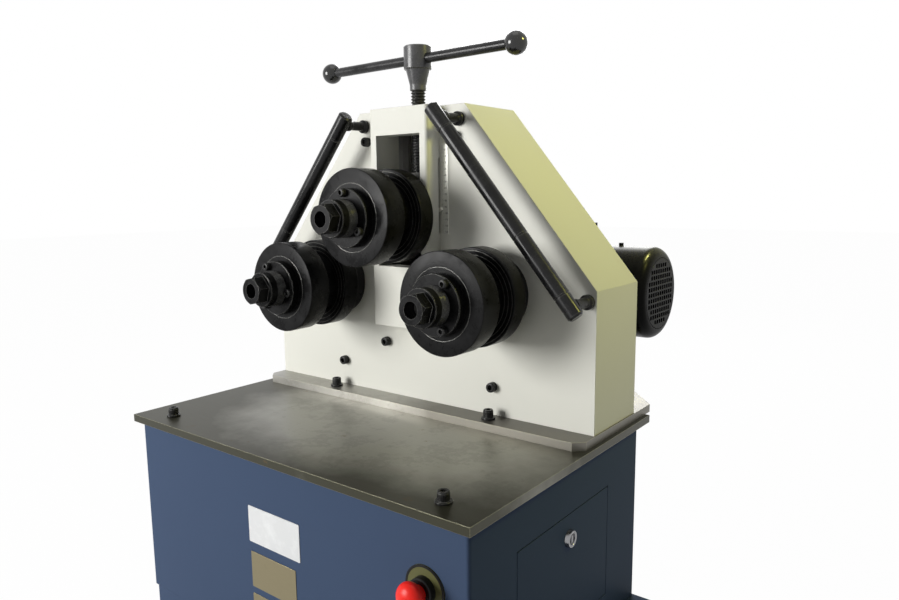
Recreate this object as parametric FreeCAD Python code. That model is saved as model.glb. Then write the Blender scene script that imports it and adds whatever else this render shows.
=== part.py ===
import FreeCAD, Part
import math
import os

from FreeCAD import Vector

# Powered ring roller: three shafts in a welded head, on a steel table over a sheet-metal cabinet.
# X runs along the table, Y from front to back, Z up from the floor. Sizes are in millimetres.
# The origin is on the floor, under the centre of the cabinet.

# Fits
running = 0.05
slide_gap = 0.1
air_gap = 0.3

# Plinth
plinth_height = 94.0
plinth_wall = 3.0
plinth_side_ledge = 50.0
plinth_front_recess = 31.5
floor_bolt_beyond = 23.0
floor_bolt_inset_front = 30.0
floor_bolt_inset_back = 31.5
floor_bolt_hole = 14.0

# Cabinet
cabinet_width = 682.0
cabinet_depth = 463.0
cabinet_sheet = 2.0
cabinet_corner = 5.0
cabinet_return = 45.0
table_top = 400.0
table_overhang_side = 9.0
table_depth = 500.0
table_thickness = 12.0
table_overhang_front = 10.5

# Cabinet door, hinged along its lower edge
door_front = -130.0
door_back = 124.0
door_above_plinth = 42.0
door_below_table = 67.5
door_gap = 1.5
door_pan = 12.0
door_corner = 2.5
hinge_knuckle = 4.0
hinge_pin = 2.0
hinge_leaf = 1.0
hinge_leaf_height = 14.0
hinge_knuckle_length = 40.0
lock_y = 3.5
lock_below_door_top = 34.5
lock_face = 13.0
lock_proud = 6.0
lock_body = 9.0
lock_depth = 18.0
lock_cam_reach = 42.0
lock_cam_width = 14.0
lock_cam_thickness = 3.0

# Base flange under the head
flange_thickness = 13.0
flange_beyond_head = 2.0
flange_front = 32.0
flange_back = 335.0
flange_back_cut = (53.0, 60.0)
flange_front_cut = 15.0

# Head casing
head_beyond_shaft = 171.0
head_side_height = 211.0
head_height = 487.0
head_top_width = 224.0
head_front = 75.3
head_depth = 139.4
front_wall = 25.0
side_wall = 8.0
base_wall = 10.0
top_wall = 24.0
rear_wall = 16.0
pillar = 20.0

# Raised box that frames the window of the upper shaft
box_width = 124.0
box_proud = 31.0
box_drop = 359.0
box_sheet = 4.0
box_corner = 6.0
window_width = 93.0
window_low = 643.0
window_high = 857.0
channel_low = 585.0

# Shafts and rollers
shaft_spread = 340.0
lower_axis_height = 609.0
upper_axis_height = 727.0
roller_diameter = 150.0
roller_bore = 40.0
roller_front = -64.0
front_disc_width = 38.5
groove_width = 38.0
back_disc_width = 29.5
groove_diameter = 104.0
disc_chamfer = 1.5
collar_diameter = 90.0
collar_width = 14.0
collar_screw_circle = 76.0
collar_screw_head = 13.0
collar_screw_head_height = 8.0
collar_screw_size = 8.0
nut_skirt_diameter = 57.0
nut_skirt_length = 30.0
nut_flats = 41.0
nut_hex_length = 19.0
nut_bore = 24.0
nut_recess = 20.0
shoulder_diameter = 60.0

# Lower shafts behind the rollers
bearing_cap_diameter = 118.0
bearing_cap_width = 20.3
front_bearing = (55.0, 100.0, 21.0)
rear_bearing = (45.0, 75.0, 15.0)
gear_seat_diameter = 50.0
bearing_lip = 2.0
rear_cap_diameter = 100.0
rear_cap_width = 8.0

# Gear train: one pinion drives both lower shafts
gear_module = 4.0
gear_teeth = 63
pinion_teeth = 37
pressure_angle = math.radians(20.0)
backlash = 0.4
gear_width = 30.0
gear_front = 160.0
gear_web = 12.0
gear_rim = 13.0
gear_hub = 90.0
gear_holes = 6
gear_hole = 42.0
pinion_extra = 2.0
pinion_shaft = 40.0
pinion_tail = 35.0
pinion_bearing = (30.0, 62.0, 16.0)

# Slide of the upper shaft
slide_below = 60.0
slide_above = 70.0
slide_front = 78.0
slide_back = 138.0
slide_wing = 141.0
slide_bearing = (40.0, 80.0, 18.0)
slide_lip = 2.0
rail_width = 20.0
rail_keeper = 9.0
rail_overlap = 12.0
rail_low = 575.0

# Adjusting spindle and its tee handle
spindle_y = 98.8
spindle_diameter = 24.0
spindle_collar = (32.0, 8.0)
spindle_neck = 18.0
slot_floor = 52.0
nut_outer = 38.0
hub_below_bar = 49.5
hub_above_bar = 20.5
hub_neck = (27.0, 8.0)
hub_cone = (39.5, 24.7)
hub_diameter = 46.0
hub_chamfer = 1.5
bar_over_head = 80.5
bar_diameter = 16.0
bar_left = 210.8
bar_right = 195.2
bar_turn = -2.1
ball_diameter = 35.0

# Scale and pointer
ruler_left = 65.3
ruler_width = 13.5
ruler_low = 698.0
ruler_high = 840.0
ruler_thickness = 0.8
pointer_height = 736.6
pointer_tip = 68.5
pointer_thickness = 2.0
pointer_depth = 7.0
pointer_root = 34.0
travel_down = 31.0
travel_up = 75.0

# Round bars for side guides
guide_bar_y = 20.3
guide_top_inset = (10.5, 22.9)
guide_low_inset = (13.7, 15.9)
guide_diameter = 24.0
guide_over_top = 19.0
guide_over_low = 18.0
guide_end_chamfer = 3.0
guide_notch = (3.0, 1.0)
guide_notch_places = (25.0, 228.0, 332.0)
post_diameter = 15.0
post_collar = (22.0, 6.0)
post_flare = (19.0, 5.0)
post_thread = 12.0
post_depth = 4.0

# Fasteners
bolt_head = 16.0
bolt_head_height = 12.0
bolt_shank = 10.0
washer_diameter = 22.0
washer_thickness = 3.0
hex_nut = (17.0, 8.0)
table_bolt_inset = 64.0
table_bolt_from_front = 35.0
back_bolts_behind_head = 31.3
flange_bolts_before_head = 21.3
face_screw_low_inset = (5.0, 46.0)
face_screw_mid_inset = (3.0, 34.5)
face_screw_high_inset = (16.5, 49.0)
face_screw_depth = 20.0

# Reducer and motor
motor_behind_head = 103.3
worm_centres = 90.0
reducer_flange = (160.0, 12.0)
reducer_neck = 100.0
wheel_case = (160.0, 92.0)
wheel_hub = (112.0, 136.0)
worm_case = (96.0, 176.0)
input_flange = (160.0, 12.0)
motor_end = 338.0
motor_flange_width = 12.0
motor_shield = (132.0, 18.0)
stator_diameter = 136.0
fin_diameter = 150.0
fin_width = 3.0
fin_count = 30
cover_start = 256.0
cover_diameter = 154.0
cover_sheet = 2.0
cover_shoulder = (17.0, 5.0)
grille_diameter = 118.0
grille_pitch = 9.4
grille_hole = 6.8
cover_screw = (8.0, 5.0)
cover_screw_place = 266.0
motor_shaft = 19.0
fan_diameter = 132.0
fan_width = 30.0
fan_blades = 7
fan_blade = 3.0
fan_hub = 44.0
terminal_box = (86.0, 92.0, 50.0)
terminal_box_end = 198.0
terminal_lid = (12.0, 2.0)
terminal_corner = 5.0
terminal_gland = (26.0, 10.0)

# Emergency stop
stop_inset = 65.0
stop_below_table = 90.0
legend_diameter = 60.0
legend_thickness = 1.5
stop_collar = (34.0, 10.0)
stop_stem = 20.0
stop_panel_hole = 22.0
stop_nut = (29.0, 6.0)
stop_block = (30.0, 40.0, 32.0)
mushroom_diameter = 40.0
mushroom_back = 20.0
mushroom_rim = 7.0
mushroom_undercut = 3.0
mushroom_front = 40.0
stop_travel = 5.0

# Electrical gear in the cabinet
panel_inset = 81.0
panel_width = 240.0
panel_above_plinth = 56.0
panel_height = 190.0
panel_sheet = 2.5
panel_standoff = 8.0
contactor = (50.0, 80.0, 74.0)
transformer = (84.0, 88.0, 70.0)
terminal_strip = (150.0, 24.0, 36.0)
gland_inset = 56.0
gland_above_plinth = 56.0
gland_thread = 20.0
gland_hex = (24.0, 6.0)
gland_cap = (22.0, 18.0)
gland_bore = 10.0

# Places that follow from the sizes
table_front = -cabinet_depth / 2 - table_overhang_front
table_under = table_top - table_thickness
table_width = cabinet_width + 2 * table_overhang_side
lower_shaft_x = shaft_spread / 2
head_base = table_top + flange_thickness
head_top = head_base + head_height
head_width = shaft_spread + 2 * head_beyond_shaft
shoulder_height = head_base + head_side_height
head_back = head_front + head_depth
rear_plate_front = head_back - rear_wall
front_plate_back = head_front + front_wall
box_front = head_front - box_proud
flange_width = head_width + 2 * flange_beyond_head
groove_front = roller_front + front_disc_width
back_disc_front = groove_front + groove_width
roller_back = back_disc_front + back_disc_width
collar_front = roller_front - collar_width
hex_back = collar_front - nut_skirt_length
nut_front = hex_back - nut_hex_length
shaft_front = nut_front + nut_recess
gear_pitch_radius = gear_module * gear_teeth / 2
pinion_pitch_radius = gear_module * pinion_teeth / 2
gear_centres = gear_pitch_radius + pinion_pitch_radius
pinion_drop = math.sqrt(gear_centres ** 2 - lower_shaft_x ** 2)
pinion_height = lower_axis_height - pinion_drop
motor_height = pinion_height + worm_centres
slide_low = upper_axis_height - slide_below
slide_high = upper_axis_height + slide_above
bar_height = head_top + bar_over_head
hub_bottom = bar_height - hub_below_bar
hub_top = bar_height + hub_above_bar
door_bottom = plinth_height + door_above_plinth
door_top = table_under - door_below_table
hinge_x = cabinet_width / 2 + hinge_knuckle
hinge_z = door_bottom - hinge_knuckle
lock_z = door_top - lock_below_door_top
floor_bolt_x = cabinet_width + 2 * floor_bolt_beyond
plinth_front = plinth_front_recess - cabinet_depth / 2
floor_bolt_front = plinth_front + floor_bolt_inset_front
floor_bolt_back = cabinet_depth / 2 - floor_bolt_inset_back
table_bolt_x = table_width / 2 - table_bolt_inset
table_bolt_front = table_front + table_bolt_from_front
table_bolt_back = head_back + back_bolts_behind_head
flange_bolt_x = lower_shaft_x
flange_bolt_front = head_front - flange_bolts_before_head
face_screw_low = (lower_shaft_x - face_screw_low_inset[0], head_base + face_screw_low_inset[1])
face_screw_mid = (box_width / 2 - face_screw_mid_inset[0], head_top - box_drop - face_screw_mid_inset[1])
face_screw_high = (head_top_width / 2 - face_screw_high_inset[0], head_top - face_screw_high_inset[1])
guide_top = (head_top_width / 2 - guide_top_inset[0], head_top - guide_top_inset[1])
guide_low = (head_width / 2 - guide_low_inset[0], shoulder_height - guide_low_inset[1])
motor_y = head_back + motor_behind_head
stop_x = cabinet_width / 2 - stop_inset
stop_z = table_under - stop_below_table
gland_x = gland_inset - cabinet_width / 2
gland_z = plinth_height + gland_above_plinth
panel_left = panel_inset - cabinet_width / 2
panel_low = plinth_height + panel_above_plinth
panel_high = panel_low + panel_height


def save(name, *solids):
    """Write one named piece, which may be a group of separate solids."""
    shape = solids[0] if len(solids) == 1 else Part.makeCompound(list(solids))
    for solid in shape.Solids:
        if not solid.isValid():
            raise ValueError(name + " is not a sound solid")
    shape.exportStep("parts/" + name + ".step")


def box(x0, x1, y0, y1, z0, z1):
    return Part.makeBox(x1 - x0, y1 - y0, z1 - z0, Vector(x0, y0, z0))


def rod_x(y, z, x0, x1, diameter):
    return Part.makeCylinder(diameter / 2, x1 - x0, Vector(x0, y, z), Vector(1, 0, 0))


def rod_y(x, z, y0, y1, diameter):
    return Part.makeCylinder(diameter / 2, y1 - y0, Vector(x, y0, z), Vector(0, 1, 0))


def rod_z(x, y, z0, z1, diameter):
    return Part.makeCylinder(diameter / 2, z1 - z0, Vector(x, y, z0), Vector(0, 0, 1))


def polygon(points):
    return Part.Face(Part.makePolygon(points + [points[0]]))


def prism_y(outline, y0, y1):
    """Extrude an outline of (x, z) points from y0 to y1."""
    return polygon([Vector(x, y0, z) for x, z in outline]).extrude(Vector(0, y1 - y0, 0))


def prism_z(outline, z0, z1):
    """Extrude an outline of (x, y) points from z0 to z1."""
    return polygon([Vector(x, y, z0) for x, y in outline]).extrude(Vector(0, 0, z1 - z0))


def turned(profile, base, axis, side):
    """Turn a profile of (radius, distance) points about an axis through base."""
    points = [base + side * radius + axis * distance for radius, distance in profile]
    return polygon(points).revolve(base, axis, 360)


def turned_y(x, z, profile):
    return turned(profile, Vector(x, 0, z), Vector(0, 1, 0), Vector(1, 0, 0))


def turned_x(y, z, profile):
    return turned(profile, Vector(0, y, z), Vector(1, 0, 0), Vector(0, 0, 1))


def turned_z(x, y, profile):
    return turned(profile, Vector(x, y, 0), Vector(0, 0, 1), Vector(1, 0, 0))


def hexagon_y(x, z, y0, y1, flats, turn=0.0):
    radius = flats / math.sqrt(3)
    angles = [math.radians(turn + 60 * step) for step in range(6)]
    outline = [(x + radius * math.cos(a), z + radius * math.sin(a)) for a in angles]
    return prism_y(outline, y0, y1)


def hexagon_z(x, y, z0, z1, flats):
    radius = flats / math.sqrt(3)
    angles = [math.radians(60 * step) for step in range(6)]
    outline = [(x + radius * math.cos(a), y + radius * math.sin(a)) for a in angles]
    return prism_z(outline, z0, z1)


def round_edges(solid, radius, direction):
    """Round every straight edge that runs along the given direction."""
    chosen = []
    for edge in solid.Edges:
        straight = isinstance(edge.Curve, Part.Line)
        if straight and abs(edge.tangentAt(edge.FirstParameter).dot(direction)) > 0.999:
            chosen.append(edge)
    return solid.makeFillet(radius, chosen)


def both_sides(make):
    """Make the same piece on the left and on the right."""
    return [make(-1), make(1)]


def upright_bolt(x, y, seat, nut_seat):
    """Bolt with a washer above and a hexagon nut below."""
    washer_top = seat + washer_thickness
    head_end = washer_top + bolt_head_height
    shank_end = nut_seat - hex_nut[1] - 2
    washer = rod_z(x, y, seat, washer_top, washer_diameter)
    head = rod_z(x, y, washer_top, head_end, bolt_head)
    shank = rod_z(x, y, shank_end, washer_top, bolt_shank)
    nut = hexagon_z(x, y, nut_seat - hex_nut[1], nut_seat, hex_nut[0])
    return washer.fuse([head, shank, nut])


def bolt_hole(x, y, low, high):
    return rod_z(x, y, low - 1, high + 1, bolt_shank + 2 * running)


def side_screw(x, z, seat, depth, outward, head=bolt_head, height=bolt_shank, shank=bolt_shank):
    """Screw along Y; outward is -1 for the front of the head and 1 for its back."""
    end = seat + outward * height
    inner = seat - outward * depth
    head_solid = rod_y(x, z, min(seat, end), max(seat, end), head)
    return head_solid.fuse(rod_y(x, z, min(seat, inner), max(seat, inner), shank))


def side_hole(x, z, seat, depth, inward, shank=bolt_shank):
    end = seat + inward * depth
    return rod_y(x, z, min(seat, end), max(seat, end), shank + 2 * running)


# Plinth, cabinet and table

def plinth():
    half_width = cabinet_width / 2 + plinth_side_ledge
    back = cabinet_depth / 2
    body = box(-half_width, half_width, plinth_front, back, 0, plinth_height)
    body = round_edges(body, cabinet_corner, Vector(0, 0, 1))
    hollow = box(-half_width + plinth_wall, half_width - plinth_wall, plinth_front + plinth_wall,
                 back - plinth_wall, plinth_wall, plinth_height - plinth_wall)
    mouth_x = cabinet_width / 2 - cabinet_return
    mouth_y = cabinet_depth / 2 - cabinet_return
    mouth = box(-mouth_x, mouth_x, -mouth_y, mouth_y, plinth_height - plinth_wall - 1, plinth_height + 1)
    body = body.cut([hollow, mouth])
    for x in (-floor_bolt_x / 2, floor_bolt_x / 2):
        for y in (floor_bolt_front, floor_bolt_back):
            body = body.cut(rod_z(x, y, -1, plinth_height + 1, floor_bolt_hole))
    return body


def cabinet():
    half_width = cabinet_width / 2
    half_depth = cabinet_depth / 2
    outer = box(-half_width, half_width, -half_depth, half_depth, plinth_height, table_under)
    outer = round_edges(outer, cabinet_corner, Vector(0, 0, 1))
    inner = box(-half_width + cabinet_sheet, half_width - cabinet_sheet, -half_depth + cabinet_sheet,
                half_depth - cabinet_sheet, plinth_height + cabinet_sheet, table_under - cabinet_sheet)
    inner = round_edges(inner, cabinet_corner - cabinet_sheet, Vector(0, 0, 1))
    mouth_x = half_width - cabinet_return
    mouth_y = half_depth - cabinet_return
    mouth = box(-mouth_x, mouth_x, -mouth_y, mouth_y, plinth_height - 1, table_under + 1)
    doorway = box(half_width - cabinet_sheet - 1, half_width + 1,
                  door_front - door_gap, door_back + door_gap,
                  door_bottom - door_gap, door_top + door_gap)
    stop_hole = rod_y(stop_x, stop_z, -half_depth - 1, -half_depth + cabinet_sheet + 1,
                      stop_panel_hole + 2 * running)
    gland_hole = rod_y(gland_x, gland_z, half_depth - cabinet_sheet - 1, half_depth + 1,
                       gland_thread + 2 * running)
    bolts = [bolt_hole(side * table_bolt_x, table_bolt_front, table_under - cabinet_sheet, table_under)
             for side in (-1, 1)]
    return outer.cut([inner, mouth, doorway, stop_hole, gland_hole] + bolts)


def table():
    half = table_width / 2
    plate = box(-half, half, table_front, table_front + table_depth, table_under, table_top)
    return plate.cut([bolt_hole(x, y, table_under, table_top) for x, y in bolt_places()])


def bolt_places():
    places = []
    for side in (-1, 1):
        places.append((side * table_bolt_x, table_bolt_front))
        places.append((side * table_bolt_x, table_bolt_back))
        places.append((side * flange_bolt_x, flange_bolt_front))
        places.append((side * flange_bolt_x, table_bolt_back))
    return places


def table_bolts():
    """The bolts of the table's front corners, and those that go through flange and table."""
    solids = both_sides(lambda side: upright_bolt(side * table_bolt_x, table_bolt_front, table_top,
                                                  table_under - cabinet_sheet))
    for x, y in ((table_bolt_x, table_bolt_back), (flange_bolt_x, flange_bolt_front),
                 (flange_bolt_x, table_bolt_back)):
        solids += both_sides(lambda side: upright_bolt(side * x, y, head_base, table_under))
    return solids


def base_flange():
    half = flange_width / 2
    cut_x, cut_y = flange_back_cut
    outline = [(-half + flange_front_cut, flange_front), (half - flange_front_cut, flange_front),
               (half, flange_front + flange_front_cut), (half, flange_back - cut_y),
               (half - cut_x, flange_back), (-half + cut_x, flange_back),
               (-half, flange_back - cut_y), (-half, flange_front + flange_front_cut)]
    plate = prism_z(outline, table_top, head_base)
    on_flange = [place for place in bolt_places() if place[1] > flange_front]
    return plate.cut([bolt_hole(x, y, table_top, head_base) for x, y in on_flange])


# Cabinet door, hinge and lock

def knuckle_starts(first):
    """Where every second knuckle of the door hinge begins, from the first or the second place on."""
    starts = []
    start = door_front + first * hinge_knuckle_length
    while start + hinge_knuckle_length <= door_back + 0.01:
        starts.append(start)
        start += 2 * hinge_knuckle_length
    return starts


def knuckles(first):
    return [rod_y(hinge_x, hinge_z, start + slide_gap, start + hinge_knuckle_length - slide_gap,
                  2 * hinge_knuckle) for start in knuckle_starts(first)]


def knuckle_clearance(first):
    """Space that one leaf leaves for the other leaf's knuckles."""
    return [rod_y(hinge_x, hinge_z, start, start + hinge_knuckle_length, 2 * hinge_knuckle + 2 * slide_gap)
            for start in knuckle_starts(first)]


def hinge_frame():
    """Leaf screwed under the doorway, with its knuckles and the pin."""
    wall = cabinet_width / 2
    leaf = box(wall, wall + hinge_leaf, door_front, door_back, hinge_z - hinge_leaf_height, hinge_z)
    pin = rod_y(hinge_x, hinge_z, door_front + slide_gap, door_back - slide_gap, 2 * hinge_pin)
    return leaf.fuse(knuckles(0)).cut(knuckle_clearance(1)).fuse(pin)


def side_door():
    """Folded pan that fills the doorway, with its own hinge leaf and knuckles."""
    wall = cabinet_width / 2
    pan = box(wall - door_pan, wall, door_front, door_back, door_bottom, door_top)
    pan = round_edges(pan, door_corner, Vector(1, 0, 0))
    hollow = box(wall - door_pan - 1, wall - cabinet_sheet, door_front + cabinet_sheet,
                 door_back - cabinet_sheet, door_bottom + cabinet_sheet, door_top - cabinet_sheet)
    lock_hole = rod_x(lock_y, lock_z, wall - cabinet_sheet - 1, wall + 1, 2 * lock_body + 2 * running)
    pan = pan.cut([hollow, lock_hole])
    leaf = box(wall, wall + hinge_leaf, door_front, door_back, hinge_z + slide_gap,
               hinge_z + hinge_leaf_height)
    leaf = leaf.fuse(knuckles(1)).cut(knuckle_clearance(0))
    bore = rod_y(hinge_x, hinge_z, door_front - 1, door_back + 1, 2 * hinge_pin + 2 * running)
    return pan.fuse(leaf).cut(bore)


def door_lock():
    """Quarter-turn lock; its cam lies along the door while the door is free to open."""
    wall = cabinet_width / 2
    inside = wall - cabinet_sheet
    profile = [(0, inside - lock_depth), (lock_body, inside - lock_depth), (lock_body, wall),
               (lock_face, wall), (lock_face, wall + lock_proud - 2), (lock_face - 2, wall + lock_proud),
               (0, wall + lock_proud)]
    body = turned_x(lock_y, lock_z, profile)
    key = box(wall + lock_proud - 4, wall + lock_proud + 1,
              lock_y - 1.5, lock_y + 1.5, lock_z - 4, lock_z + 4)
    cam_back = inside - lock_depth
    cam = box(cam_back, cam_back + lock_cam_thickness, lock_y - lock_cam_width / 2, lock_y + lock_cam_reach,
              lock_z - lock_cam_width / 2, lock_z + lock_cam_width / 2)
    return body.fuse(cam).cut(key)


# Head casing

def head_outline(side=0.0, shoulder=0.0, top=0.0, base=0.0):
    """Outline of the head, or of its hollow once each wall is taken off."""
    corner = Vector(head_width / 2, 0, shoulder_height)
    slope = Vector(head_top_width / 2, 0, head_top) - corner
    inward = Vector(-slope.z, 0, slope.x).normalize()
    x_side = corner.x - side
    z_top = head_top - top
    z_side = corner.z + (shoulder - inward.x * (x_side - corner.x)) / inward.z
    x_top = corner.x + (shoulder - inward.z * (z_top - corner.z)) / inward.x
    z_base = head_base + base
    right = [(x_side, z_base), (x_side, z_side), (x_top, z_top)]
    return right + [(-x, z) for x, z in reversed(right)]


def pillar_places():
    """Centres of the threaded pillars that the rear plate is screwed to."""
    edge_x = head_width / 2 - side_wall - pillar / 2
    low = head_base + base_wall + pillar / 2
    mid = shoulder_height - pillar
    high = head_top - top_wall - pillar / 2
    return [(edge_x, low), (edge_x, mid), (head_top_width / 2 - pillar / 5, high)]


def head_screw_places():
    return [(side * x, z) for x, z in pillar_places() for side in (-1, 1)]


def face_screw_places():
    return [(side * x, z) for x, z in (face_screw_low, face_screw_mid, face_screw_high) for side in (-1, 1)]


def post_places():
    return [(side * x, z) for x, z in (guide_top, guide_low) for side in (-1, 1)]


def head_shell():
    """Thick front plate with welded sides, sole and top; open at the back."""
    outer = prism_y(head_outline(), head_front, rear_plate_front)
    hollow = prism_y(head_outline(side_wall, side_wall, top_wall, base_wall), front_plate_back,
                     rear_plate_front + 1)
    body = outer.cut(hollow)
    half = pillar / 2
    pillars = [box(x - half, x + half, front_plate_back, rear_plate_front, z - half, z + half)
               for x, z in head_screw_places()]
    body = body.fuse(pillars)
    tools = [box(-window_width / 2, window_width / 2, head_front - 1, front_plate_back + 1,
                 channel_low, head_top - top_wall)]
    for side in (-1, 1):
        x = side * lower_shaft_x
        tools.append(rod_y(x, lower_axis_height, head_front - 1, front_plate_back + 1,
                           front_bearing[1] - 4 * bearing_lip))
        tools.append(rod_y(x, lower_axis_height, head_front - 1, head_front + bearing_lip + front_bearing[2],
                           front_bearing[1] + 2 * running))
    tools.append(rod_y(0, pinion_height, front_plate_back - pinion_bearing[2], front_plate_back + 1,
                       pinion_bearing[1] + 2 * running))
    tools.append(rod_z(0, spindle_y, head_top - top_wall - 1, head_top + 1, nut_outer + 2 * running))
    tools += [side_hole(x, z, head_front, face_screw_depth + 1, 1) for x, z in face_screw_places()]
    tools += [side_hole(x, z, head_front, face_screw_depth + 1, 1, post_thread) for x, z in post_places()]
    tools += [side_hole(x, z, rear_plate_front, face_screw_depth + 1, -1) for x, z in head_screw_places()]
    return body.cut(tools)


def head_rear_plate():
    plate = prism_y(head_outline(), rear_plate_front, head_back)
    tools = [side_hole(x, z, head_back, rear_wall + 1, -1) for x, z in head_screw_places()]
    for side in (-1, 1):
        x = side * lower_shaft_x
        tools.append(rod_y(x, lower_axis_height, rear_plate_front - 1, rear_plate_front + rear_bearing[2],
                           rear_bearing[1] + 2 * running))
        tools.append(rod_y(x, lower_axis_height, rear_plate_front, head_back + 1, rear_bearing[1] - 8))
    tools.append(rod_y(0, pinion_height, rear_plate_front - 1, head_back + 1, reducer_neck - 30))
    return plate.cut(tools)


def head_screws():
    front = [side_screw(x, z, head_front, face_screw_depth, -1) for x, z in face_screw_places()]
    back = [side_screw(x, z, head_back, rear_wall + face_screw_depth, 1) for x, z in head_screw_places()]
    return front + back


def slide_box():
    """Hollow cover around the window, with rounded upright corners and a slot for the pointer."""
    half = box_width / 2
    low = head_top - box_drop
    body = box(-half, half, box_front, head_front, low, head_top)
    outer_edges = [e for e in body.Edges
                   if abs(e.tangentAt(e.FirstParameter).z) > 0.999
                   and abs(e.BoundBox.YMin - box_front) < 0.01]
    body = body.makeFillet(box_corner, outer_edges)
    hollow = box(-half + box_sheet, half - box_sheet, box_front + box_sheet, head_front + 1,
                 low + box_sheet, head_top - box_sheet)
    frame = box(-window_width / 2 - box_sheet, window_width / 2 + box_sheet, box_front, head_front,
                window_low - box_sheet, window_high + box_sheet)
    window = box(-window_width / 2, window_width / 2, box_front - 1, head_front + 1, window_low, window_high)
    slot_depth = pointer_thickness + ruler_thickness + 2 * air_gap
    slot = box(window_width / 2 - 1, half + 1, head_front - slot_depth - air_gap, head_front + 1,
               pointer_height - travel_down - pointer_depth, pointer_height + travel_up + pointer_depth)
    return body.cut(hollow).fuse(frame).cut([window, slot])


def guide_rails():
    """Two rails behind the front plate; each has a keeper lip that holds the slide's wing."""
    front = front_plate_back
    wing_back = slide_back + slide_gap
    inner = slide_wing / 2 + slide_gap
    lip = inner - rail_overlap
    outer = inner + rail_width
    high = head_top - top_wall

    def rail(side):
        outline = [(side * inner, front), (side * outer, front), (side * outer, wing_back + rail_keeper),
                   (side * lip, wing_back + rail_keeper), (side * lip, wing_back), (side * inner, wing_back)]
        return prism_z(outline, rail_low, high)

    return both_sides(rail)


def bearing_ring(x, z, y0, size):
    """Sealed ball bearing, as a plain ring."""
    bore, outer, width = size
    inner = bore / 2 + running
    return turned_y(x, z, [(inner, y0), (outer / 2, y0), (outer / 2, y0 + width), (inner, y0 + width)])


def shaft_bearings():
    rings = []
    for side in (-1, 1):
        x = side * lower_shaft_x
        rings.append(bearing_ring(x, lower_axis_height, head_front + bearing_lip, front_bearing))
        rings.append(bearing_ring(x, lower_axis_height, rear_plate_front, rear_bearing))
    rings.append(bearing_ring(0, pinion_height, front_plate_back - pinion_bearing[2], pinion_bearing))
    return rings


def bearing_caps():
    """Turned caps over the lower bearings: open at the front, blind at the back."""
    front = head_front - bearing_cap_width
    bore = shoulder_diameter / 2 + air_gap
    solids = []
    for side in (-1, 1):
        x = side * lower_shaft_x
        outer = bearing_cap_diameter / 2
        cap = turned_y(x, lower_axis_height, [
            (bore, front), (outer - 3, front), (outer, front + 3), (outer, head_front),
            (front_bearing[1] / 2, head_front), (front_bearing[1] / 2, head_front + bearing_lip),
            (bore, head_front + bearing_lip)])
        solids.append(cap)
        rear = rear_cap_diameter / 2
        solids.append(turned_y(x, lower_axis_height, [
            (0, head_back), (rear, head_back), (rear, head_back + rear_cap_width - 2),
            (rear - 2, head_back + rear_cap_width), (0, head_back + rear_cap_width)]))
    return solids


# Rollers and shafts

def shaft_nose(x, z):
    """Profile points of the part of a shaft that carries the rollers, from its front end."""
    thread = nut_bore / 2
    seat = roller_bore / 2
    return [(0, shaft_front), (thread - 1, shaft_front), (thread, shaft_front + 1), (thread, collar_front),
            (seat, collar_front), (seat, roller_back), (shoulder_diameter / 2, roller_back)]


def lower_shaft(side):
    x = side * lower_shaft_x
    journal = head_front + bearing_lip
    journal_back = journal + front_bearing[2]
    profile = shaft_nose(x, lower_axis_height) + [
        (shoulder_diameter / 2, journal), (front_bearing[0] / 2, journal),
        (front_bearing[0] / 2, journal_back), (shoulder_diameter / 2 + 1, journal_back + air_gap),
        (shoulder_diameter / 2 + 1, gear_front), (gear_seat_diameter / 2, gear_front),
        (gear_seat_diameter / 2, gear_front + gear_width), (rear_bearing[0] / 2, gear_front + gear_width),
        (rear_bearing[0] / 2, rear_plate_front + rear_bearing[2]), (0, rear_plate_front + rear_bearing[2])]
    return turned_y(x, lower_axis_height, profile)


def upper_shaft():
    journal = slide_front + slide_lip
    inner = slide_bearing[0] / 2
    profile = shaft_nose(0, upper_axis_height) + [
        (shoulder_diameter / 2, journal), (inner, journal), (inner, journal + slide_bearing[2]),
        (inner + 3, journal + slide_bearing[2] + air_gap),
        (inner + 3, slide_back - slide_lip - slide_bearing[2] - air_gap),
        (inner, slide_back - slide_lip - slide_bearing[2]), (inner, slide_back - slide_lip),
        (0, slide_back - slide_lip)]
    return turned_y(0, upper_axis_height, profile)


def roller_disc(x, z, front, width):
    bore = roller_bore / 2 + running
    rim = roller_diameter / 2
    return turned_y(x, z, [
        (bore, front), (rim - disc_chamfer, front), (rim, front + disc_chamfer),
        (rim, front + width - disc_chamfer), (rim - disc_chamfer, front + width), (bore, front + width)])


def roller_discs(x, z):
    return [roller_disc(x, z, roller_front, front_disc_width),
            roller_disc(x, z, back_disc_front, back_disc_width)]


def roller_spacer(x, z):
    bore = roller_bore / 2 + running
    rim = groove_diameter / 2
    return turned_y(x, z, [(bore, groove_front), (rim, groove_front), (rim, back_disc_front),
                           (bore, back_disc_front)])


def collar_screw_places(x, z, phase):
    angles = [math.radians(phase + 120 * step) for step in range(3)]
    radius = collar_screw_circle / 2
    return [(x + radius * math.cos(a), z + radius * math.sin(a)) for a in angles]


def clamp_collar(x, z, phase):
    bore = roller_bore / 2 + running
    rim = collar_diameter / 2
    body = turned_y(x, z, [(bore, collar_front), (rim - 1, collar_front), (rim, collar_front + 1),
                           (rim, roller_front), (bore, roller_front)])
    return body.cut([side_hole(sx, sz, collar_front, collar_width - 3, 1, collar_screw_size)
                     for sx, sz in collar_screw_places(x, z, phase)])


def collar_screws(x, z, phase):
    return [side_screw(sx, sz, collar_front, collar_width - 4, -1, collar_screw_head,
                       collar_screw_head_height, collar_screw_size)
            for sx, sz in collar_screw_places(x, z, phase)]


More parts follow.
